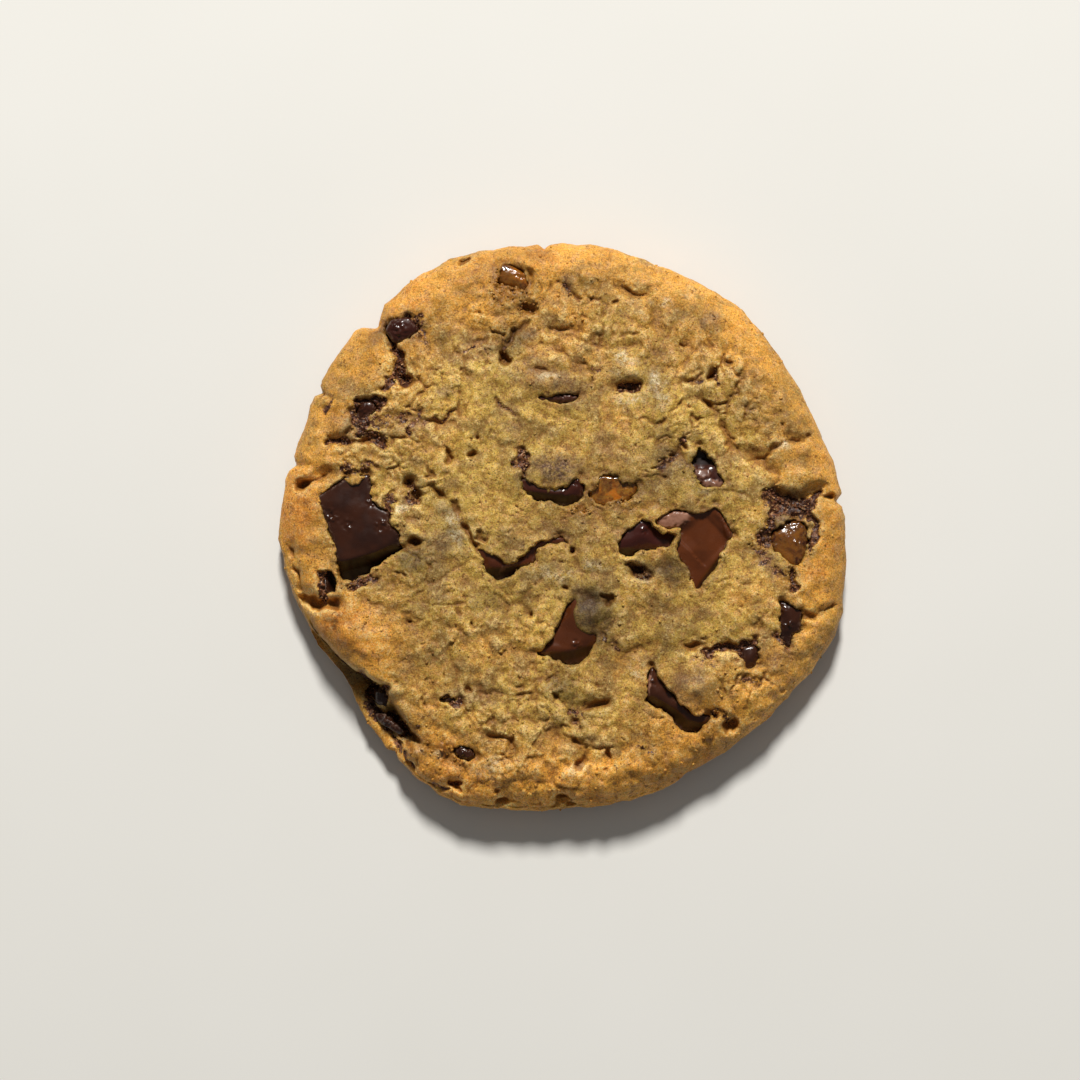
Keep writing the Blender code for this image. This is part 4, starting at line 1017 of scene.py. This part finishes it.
class Shader:
    # a short way to build a node tree
    def __init__(self, name):
        self.material = bpy.data.materials.new(name)
        self.material.use_nodes = True
        self.tree = self.material.node_tree
        self.skin = self.tree.nodes["Principled BSDF"]
        self.place = self.add("ShaderNodeTexCoord").outputs["Object"]

    def add(self, kind, **settings):
        node = self.tree.nodes.new(kind)
        for name, value in settings.items():
            setattr(node, name, value)
        return node

    def put(self, socket, value):
        if isinstance(value, bpy.types.NodeSocket):
            self.tree.links.new(value, socket)
        elif isinstance(value, tuple) and len(value) == 3 and socket.type == "RGBA":
            socket.default_value = (*value, 1.0)
        else:
            socket.default_value = value

    def attribute(self, name):
        return self.add("ShaderNodeAttribute", attribute_name=name).outputs["Fac"]

    def math(self, kind, a, b=0.0):
        node = self.add("ShaderNodeMath", operation=kind)
        self.put(node.inputs[0], a)
        self.put(node.inputs[1], b)
        return node.outputs[0]

    def plus(self, a, b):
        return self.math("ADD", a, b)

    def times(self, a, b):
        return self.math("MULTIPLY", a, b)

    def spread(self, value, low, high, toLow=0.0, toHigh=1.0):
        node = self.add("ShaderNodeMapRange", interpolation_type="SMOOTHSTEP")
        sockets = ("Value", "From Min", "From Max", "To Min", "To Max")
        for name, given in zip(sockets, (value, low, high, toLow, toHigh)):
            self.put(node.inputs[name], given)
        return node.outputs["Result"]

    def grain(self, size, detail=2.0, roughness=0.55):
        # noise with bumps of the given size in millimetres
        node = self.add("ShaderNodeTexNoise")
        self.put(node.inputs["Vector"], self.place)
        node.inputs["Scale"].default_value = 1.0 / (size * mm)
        node.inputs["Detail"].default_value = detail
        node.inputs["Roughness"].default_value = roughness
        return node.outputs["Fac"]

    def mix(self, share, a, b, kind="MIX"):
        node = self.add("ShaderNodeMix", data_type="RGBA", blend_type=kind)
        self.put(node.inputs["Factor"], share)
        self.put(node.inputs["A"], a)
        self.put(node.inputs["B"], b)
        return node.outputs["Result"]

    def ramp(self, value, stops):
        node = self.add("ShaderNodeValToRGB")
        self.put(node.inputs["Fac"], value)
        band = node.color_ramp
        while len(band.elements) < len(stops):
            band.elements.new(0.5)
        for element, (position, colour) in zip(band.elements, stops):
            element.position = position
            element.color = (*colour, 1.0)
        return node.outputs["Color"]

    def bump(self, height, distance, before=None):
        node = self.add("ShaderNodeBump")
        self.put(node.inputs["Height"], height)
        node.inputs["Distance"].default_value = distance * mm
        if before is not None:
            self.put(node.inputs["Normal"], before)
        return node.outputs["Normal"]

    def finish(self, **inputs):
        for name, value in inputs.items():
            self.put(self.skin.inputs[name.replace("_", " ")], value)
        return self.material


def srgb(*levels):
    # a colour given as the eye sees it, 0 to 255, as the linear numbers a shader takes
    return tuple(
        level / 255 / 12.92 if level < 11 else ((level / 255 + 0.055) / 1.055) ** 2.4 for level in levels
    )


doughLook = {
    "pale": srgb(206, 169, 80),
    "tan": srgb(192, 144, 66),
    "gold": srgb(224, 160, 64),
    "amber": srgb(206, 132, 48),
    "dark": srgb(116, 70, 30),
    # painted highlight on crests, and pale grain
    "crestHighlightAndPaleGrain": srgb(226, 194, 126),
    # painted shade in troughs, and dark grain
    "troughShadeAndDarkGrain": srgb(136, 92, 40),
    "dusty": srgb(140, 112, 82),
    "smear": srgb(88, 62, 52),
    "olive": srgb(160, 124, 44),
    "rosy": srgb(206, 154, 98),
    "greyed": srgb(138, 108, 62),
    "wet": srgb(112, 62, 18),
    "honey": srgb(166, 110, 36),
    "fleck": srgb(110, 66, 30),
    # colour of the painted shade in hollows
    "hollowShadeColour": srgb(136, 88, 38),
    # colour of the painted sheen
    "paintedSheen": srgb(234, 216, 174),
    "seepDark": srgb(66, 36, 24),
    "seepBrown": srgb(128, 82, 52),
    "seepPale": srgb(186, 142, 100),
}


def doughMaterial():
    s = Shader("bakedDough")
    look = doughLook
    brown = s.plus(s.attribute("brown"), s.spread(s.grain(1.1), 0.3, 0.7, -0.1, 0.1))
    brown = s.plus(brown, s.times(s.attribute("foot"), 0.6))
    stops = ((0.1, "pale"), (0.32, "tan"), (0.62, "gold"), (0.88, "amber"), (1.0, "dark"))
    colour = s.ramp(brown, [(place, look[name]) for place, name in stops])
    rosy = s.spread(s.grain(1.3, 2.0, 0.5), 0.5, 0.66)
    colour = s.mix(s.times(rosy, 0.5), colour, look["rosy"])
    oily = s.spread(s.grain(2.0, 3.0, 0.6), 0.5, 0.66)
    colour = s.mix(s.times(oily, s.spread(brown, 0.6, 0.35, 0.2, 0.7)), colour, look["olive"])
    greyed = s.spread(s.grain(4.6, 3.0, 0.6), 0.48, 0.64)
    colour = s.mix(s.times(greyed, s.spread(brown, 0.7, 0.3, 0.0, 0.7)), colour, look["greyed"])
    # crests are painted pale as a painted highlight and troughs brown as painted shade, with random grain
    # speckle added
    swirl = s.add("ShaderNodeTexNoise")
    s.put(swirl.inputs["Vector"], s.place)
    swirl.inputs["Scale"].default_value = 1.0 / (1.2 * mm)
    bend = s.add("ShaderNodeVectorMath", operation="MULTIPLY_ADD")
    s.put(bend.inputs[0], swirl.outputs["Color"])
    bend.inputs[1].default_value = (0.7 * mm, 0.7 * mm, 0.7 * mm)
    s.put(bend.inputs[2], s.place)
    clumps = s.add("ShaderNodeTexVoronoi", feature="SMOOTH_F1")
    s.put(clumps.inputs["Vector"], bend.outputs[0])
    clumps.inputs["Scale"].default_value = 1.0 / (0.85 * mm)
    clumps.inputs["Smoothness"].default_value = 0.35
    clump = s.spread(clumps.outputs["Distance"], 0.75, 0.15)
    crumbly = s.math("SUBTRACT", 1.0, s.times(s.attribute("skin"), 0.75))
    speckle = s.times(s.spread(clump, 0.0, 1.0, -0.14, 0.08), crumbly)
    speckle = s.plus(speckle, s.spread(s.grain(0.32, 4.0, 0.7), 0.32, 0.68, -0.28, 0.28))
    paintedReliefLight = s.plus(s.attribute("paintedReliefLight"), speckle)
    colour = s.mix(s.spread(paintedReliefLight, 0.48, 1.0, 0.0, 0.75), colour, look["crestHighlightAndPaleGrain"])
    colour = s.mix(s.spread(paintedReliefLight, 0.5, 0.0, 0.0, 0.75), colour, look["troughShadeAndDarkGrain"])
    dusting = s.mix(s.spread(s.grain(0.4, 3.0, 0.7), 0.44, 0.56), look["dusty"], look["smear"])
    cocoa = s.times(s.attribute("cocoa"), s.spread(s.grain(0.7, 3.0, 0.7), 0.3, 0.6, 0.5, 1.0))
    colour = s.mix(cocoa, colour, dusting)
    # painted sheen: the glossy places are painted pale and whitish
    paintedSheen = s.times(s.attribute("glossAndPaintedSheen"), s.spread(s.grain(0.55, 3.0, 0.7), 0.38, 0.56))
    colour = s.mix(s.times(paintedSheen, 0.85), colour, look["paintedSheen"])
    wet = s.attribute("wet")
    honeyed = s.mix(s.spread(s.grain(0.7, 2.0, 0.6), 0.4, 0.6), look["wet"], look["honey"])
    colour = s.mix(s.times(wet, 0.85), colour, honeyed)
    # painted shade in the hollows
    paintedHollowShade = s.attribute("paintedHollowShade")
    colour = s.mix(s.times(paintedHollowShade, 0.8), colour, look["hollowShadeColour"])
    fleckPatches = s.spread(s.grain(2.6), 0.42, 0.54)
    flecks = s.times(s.spread(s.grain(0.5, 1.0, 0.4), 0.64, 0.7), fleckPatches)
    specks = s.times(s.spread(s.grain(0.28, 1.0, 0.4), 0.62, 0.72), crumbly)
    colour = s.mix(s.times(s.math("MAXIMUM", flecks, specks), 0.7), colour, look["fleck"])
    seeping = s.mix(s.spread(s.grain(0.6, 3.0, 0.6), 0.46, 0.62), look["seepDark"], look["seepBrown"])
    seeping = s.mix(s.spread(s.grain(0.45, 1.0, 0.5), 0.62, 0.7), seeping, look["seepPale"])
    patchy = s.spread(s.grain(0.9, 3.0, 0.65), 0.3, 0.7, -0.42, 0.3)
    seep = s.spread(s.plus(s.attribute("seep"), patchy), 0.35, 0.6)
    colour = s.mix(seep, colour, seeping)
    sand = s.grain(0.19, 2.0, 0.7)
    # random grain brightness times the listed stains and the painted light and shade
    shade = s.times(s.spread(sand, 0.3, 0.7, 0.7, 1.3), s.attribute("stainAndPaintedLight"))
    tint = s.add("ShaderNodeCombineColor")
    for name in ("Red", "Green", "Blue"):
        s.put(tint.inputs[name], shade)
    colour = s.mix(1.0, colour, tint.outputs["Color"], "MULTIPLY")
    rough = s.spread(s.grain(0.4, 2.0, 0.6), 0.3, 0.7, 0.44, 0.74)
    for gloss, share in ((wet, 0.26), (s.attribute("glossAndPaintedSheen"), 0.26), (seep, 0.2)):
        rough = s.math("SUBTRACT", rough, s.times(gloss, share))
    fine = s.bump(s.times(clump, crumbly), 0.04)
    fine = s.bump(s.grain(0.3, 3.0, 0.65), 0.09, fine)
    return s.finish(
        Base_Color=colour, Roughness=rough, Normal=fine, Subsurface_Weight=0.3,
        Subsurface_Radius=(1.0, 0.5, 0.2), Subsurface_Scale=0.0009, IOR=1.45, Specular_IOR_Level=0.3,
    )


chocolateLook = {
    "dark": srgb(44, 21, 13),
    "warm": srgb(92, 44, 16),
    "maroon": srgb(62, 24, 18),
    "shadow": srgb(20, 10, 7),
    "dust": srgb(128, 102, 84),
    "plate": srgb(158, 112, 90),
}


def chocolateMaterial():
    s = Shader("meltedChocolate")
    look = chocolateLook
    share = s.plus(s.attribute("warmth"), s.spread(s.grain(4.0), 0.35, 0.65, -0.1, 0.1))
    colour = s.mix(share, look["dark"], look["warm"])
    colour = s.mix(s.attribute("tint"), colour, look["maroon"])
    # the faces that fall away from the light are painted near black, a painted shade
    fall = s.attribute("fall")
    colour = s.mix(s.times(fall, 0.85), colour, look["shadow"])
    rimDust = s.spread(s.attribute("inside"), 0.9, 0.1)
    rimDust = s.times(rimDust, s.spread(s.grain(0.4), 0.48, 0.66))
    colour = s.mix(s.times(rimDust, 0.5), colour, look["dust"])
    plate = s.times(s.attribute("plate"), s.spread(s.grain(0.8), 0.3, 0.6, 0.6, 1.0))
    colour = s.mix(plate, colour, look["plate"])
    rough = s.spread(s.grain(1.8), 0.3, 0.7, 0.22, 0.34)
    for duller, amount in ((rimDust, 0.3), (fall, 0.25), (plate, 0.15), (s.attribute("broken"), -0.08)):
        rough = s.plus(rough, s.times(duller, amount))
    fine = s.bump(s.grain(0.5), 0.02)
    return s.finish(
        Base_Color=colour, Roughness=rough, Normal=fine, IOR=1.45, Specular_IOR_Level=0.4, Coat_Weight=0.15,
        Coat_Roughness=0.12,
    )


caramelLook = {
    "amber": srgb(124, 76, 24),
    "deep": srgb(82, 42, 14),
    "baked": srgb(164, 112, 40),
    "browned": srgb(124, 74, 24),
    "streak": srgb(190, 112, 28),
    "burnt": srgb(64, 28, 12),
    "scorched": srgb(108, 70, 30),
}


def caramelMaterial():
    s = Shader("wetCaramel")
    look = caramelLook
    colour = s.mix(s.spread(s.grain(1.6), 0.42, 0.66, 0.0, 0.7), look["amber"], look["deep"])
    doughy = s.mix(s.spread(s.grain(0.9, 3.0, 0.6), 0.4, 0.6), look["baked"], look["browned"])
    streak = s.spread(s.grain(2.4, 2.0, 0.5), 0.5, 0.6)
    doughy = s.mix(streak, doughy, look["streak"])
    colour = s.mix(s.attribute("tint"), colour, doughy)
    burntColour = s.mix(s.spread(s.grain(0.6), 0.4, 0.6), look["burnt"], look["scorched"])
    colour = s.mix(s.attribute("burnt"), colour, burntColour)
    rough = s.spread(s.grain(0.8), 0.35, 0.65, 0.1, 0.3)
    return s.finish(
        Base_Color=colour, Roughness=rough, Normal=s.bump(s.grain(0.7), 0.12), Subsurface_Weight=0.4,
        Subsurface_Radius=(1.0, 0.4, 0.1), Subsurface_Scale=0.001, IOR=1.45, Coat_Weight=0.3,
        Coat_Roughness=0.08,
    )


floorLook = {"pale": srgb(236, 234, 228), "paler": srgb(240, 238, 233), "rough": 0.75}


def floorMaterial():
    s = Shader("paleFloor")
    colour = s.mix(s.grain(40.0), floorLook["pale"], floorLook["paler"])
    return s.finish(Base_Color=colour, Roughness=floorLook["rough"])


def dress(obj, material):
    obj.data.materials.clear()
    obj.data.materials.append(material)


doughSkin = doughMaterial()
dress(doughCrust, doughSkin)
doughCrumbs = buildCrumbs(doughSkin)
print("crumbs:", len(doughCrumbs.data.polygons), "faces")
chocolateSkin, caramelSkin = chocolateMaterial(), caramelMaterial()
for name, obj in melted.items():
    dress(obj, caramelSkin if name.startswith("caramel") else chocolateSkin)
print("materials made")

# ---- floor, lights and camera

studio = {
    "floorSize": 1.6,
    "frameWidth": 172.8,  # millimetres across the view, at the cookie's widest height
    "widestHeight": 4.0,
    "aim": (-3.76, -2.0),  # the middle of the view, in millimetres
    "lens": 85.0,
    "keyDirection": (90, 42),  # compass angle from +X, height above the floor, in degrees
    "keyDistance": 1.5,
    "keySize": 0.26,
    "keyPower": 27.0,
    "keyColour": (1.0, 0.985, 0.95),
    "fillPower": 0.14,
    "fillColour": (1.0, 0.99, 0.97, 1.0),
}


def buildFloor():
    half = studio["floorSize"] / 2
    mesh = bpy.data.meshes.new("floor")
    corners = [(-half, -half, 0), (half, -half, 0), (half, half, 0), (-half, half, 0)]
    mesh.from_pydata(corners, [], [(0, 1, 2, 3)])
    floor = newObject("floor", mesh)
    dress(floor, floorMaterial())


def addKey():
    away = pointing(*(math.radians(angle) for angle in studio["keyDirection"]))
    data = bpy.data.lights.new("keyLight", "AREA")
    data.shape = "DISK"
    data.size = studio["keySize"]
    data.energy = studio["keyPower"]
    data.color = studio["keyColour"]
    light = newObject("keyLight", data)
    light.location = away * studio["keyDistance"]
    light.rotation_euler = away.to_track_quat("Z", "Y").to_euler()


def addFill():
    world = bpy.data.worlds.new("softRoom")
    scene.world = world
    world.use_nodes = True
    room = world.node_tree.nodes["Background"]
    room.inputs["Color"].default_value = studio["fillColour"]
    room.inputs["Strength"].default_value = studio["fillPower"]


def addCamera():
    data = bpy.data.cameras.new("camera")
    data.lens = studio["lens"]
    data.clip_start = 0.01
    camera = newObject("camera", data)
    distance = studio["frameWidth"] * data.lens / data.sensor_width
    x, y = studio["aim"]
    camera.location = (x * mm, y * mm, (distance + studio["widestHeight"]) * mm)
    scene.camera = camera


buildFloor()
addKey()
addFill()
addCamera()

# ---- what rides on what

for piece in (doughCrust, doughCrumbs):
    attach(piece, "root")
    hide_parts("dough")
for name, obj in melted.items():
    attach(obj, "root")
    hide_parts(name)
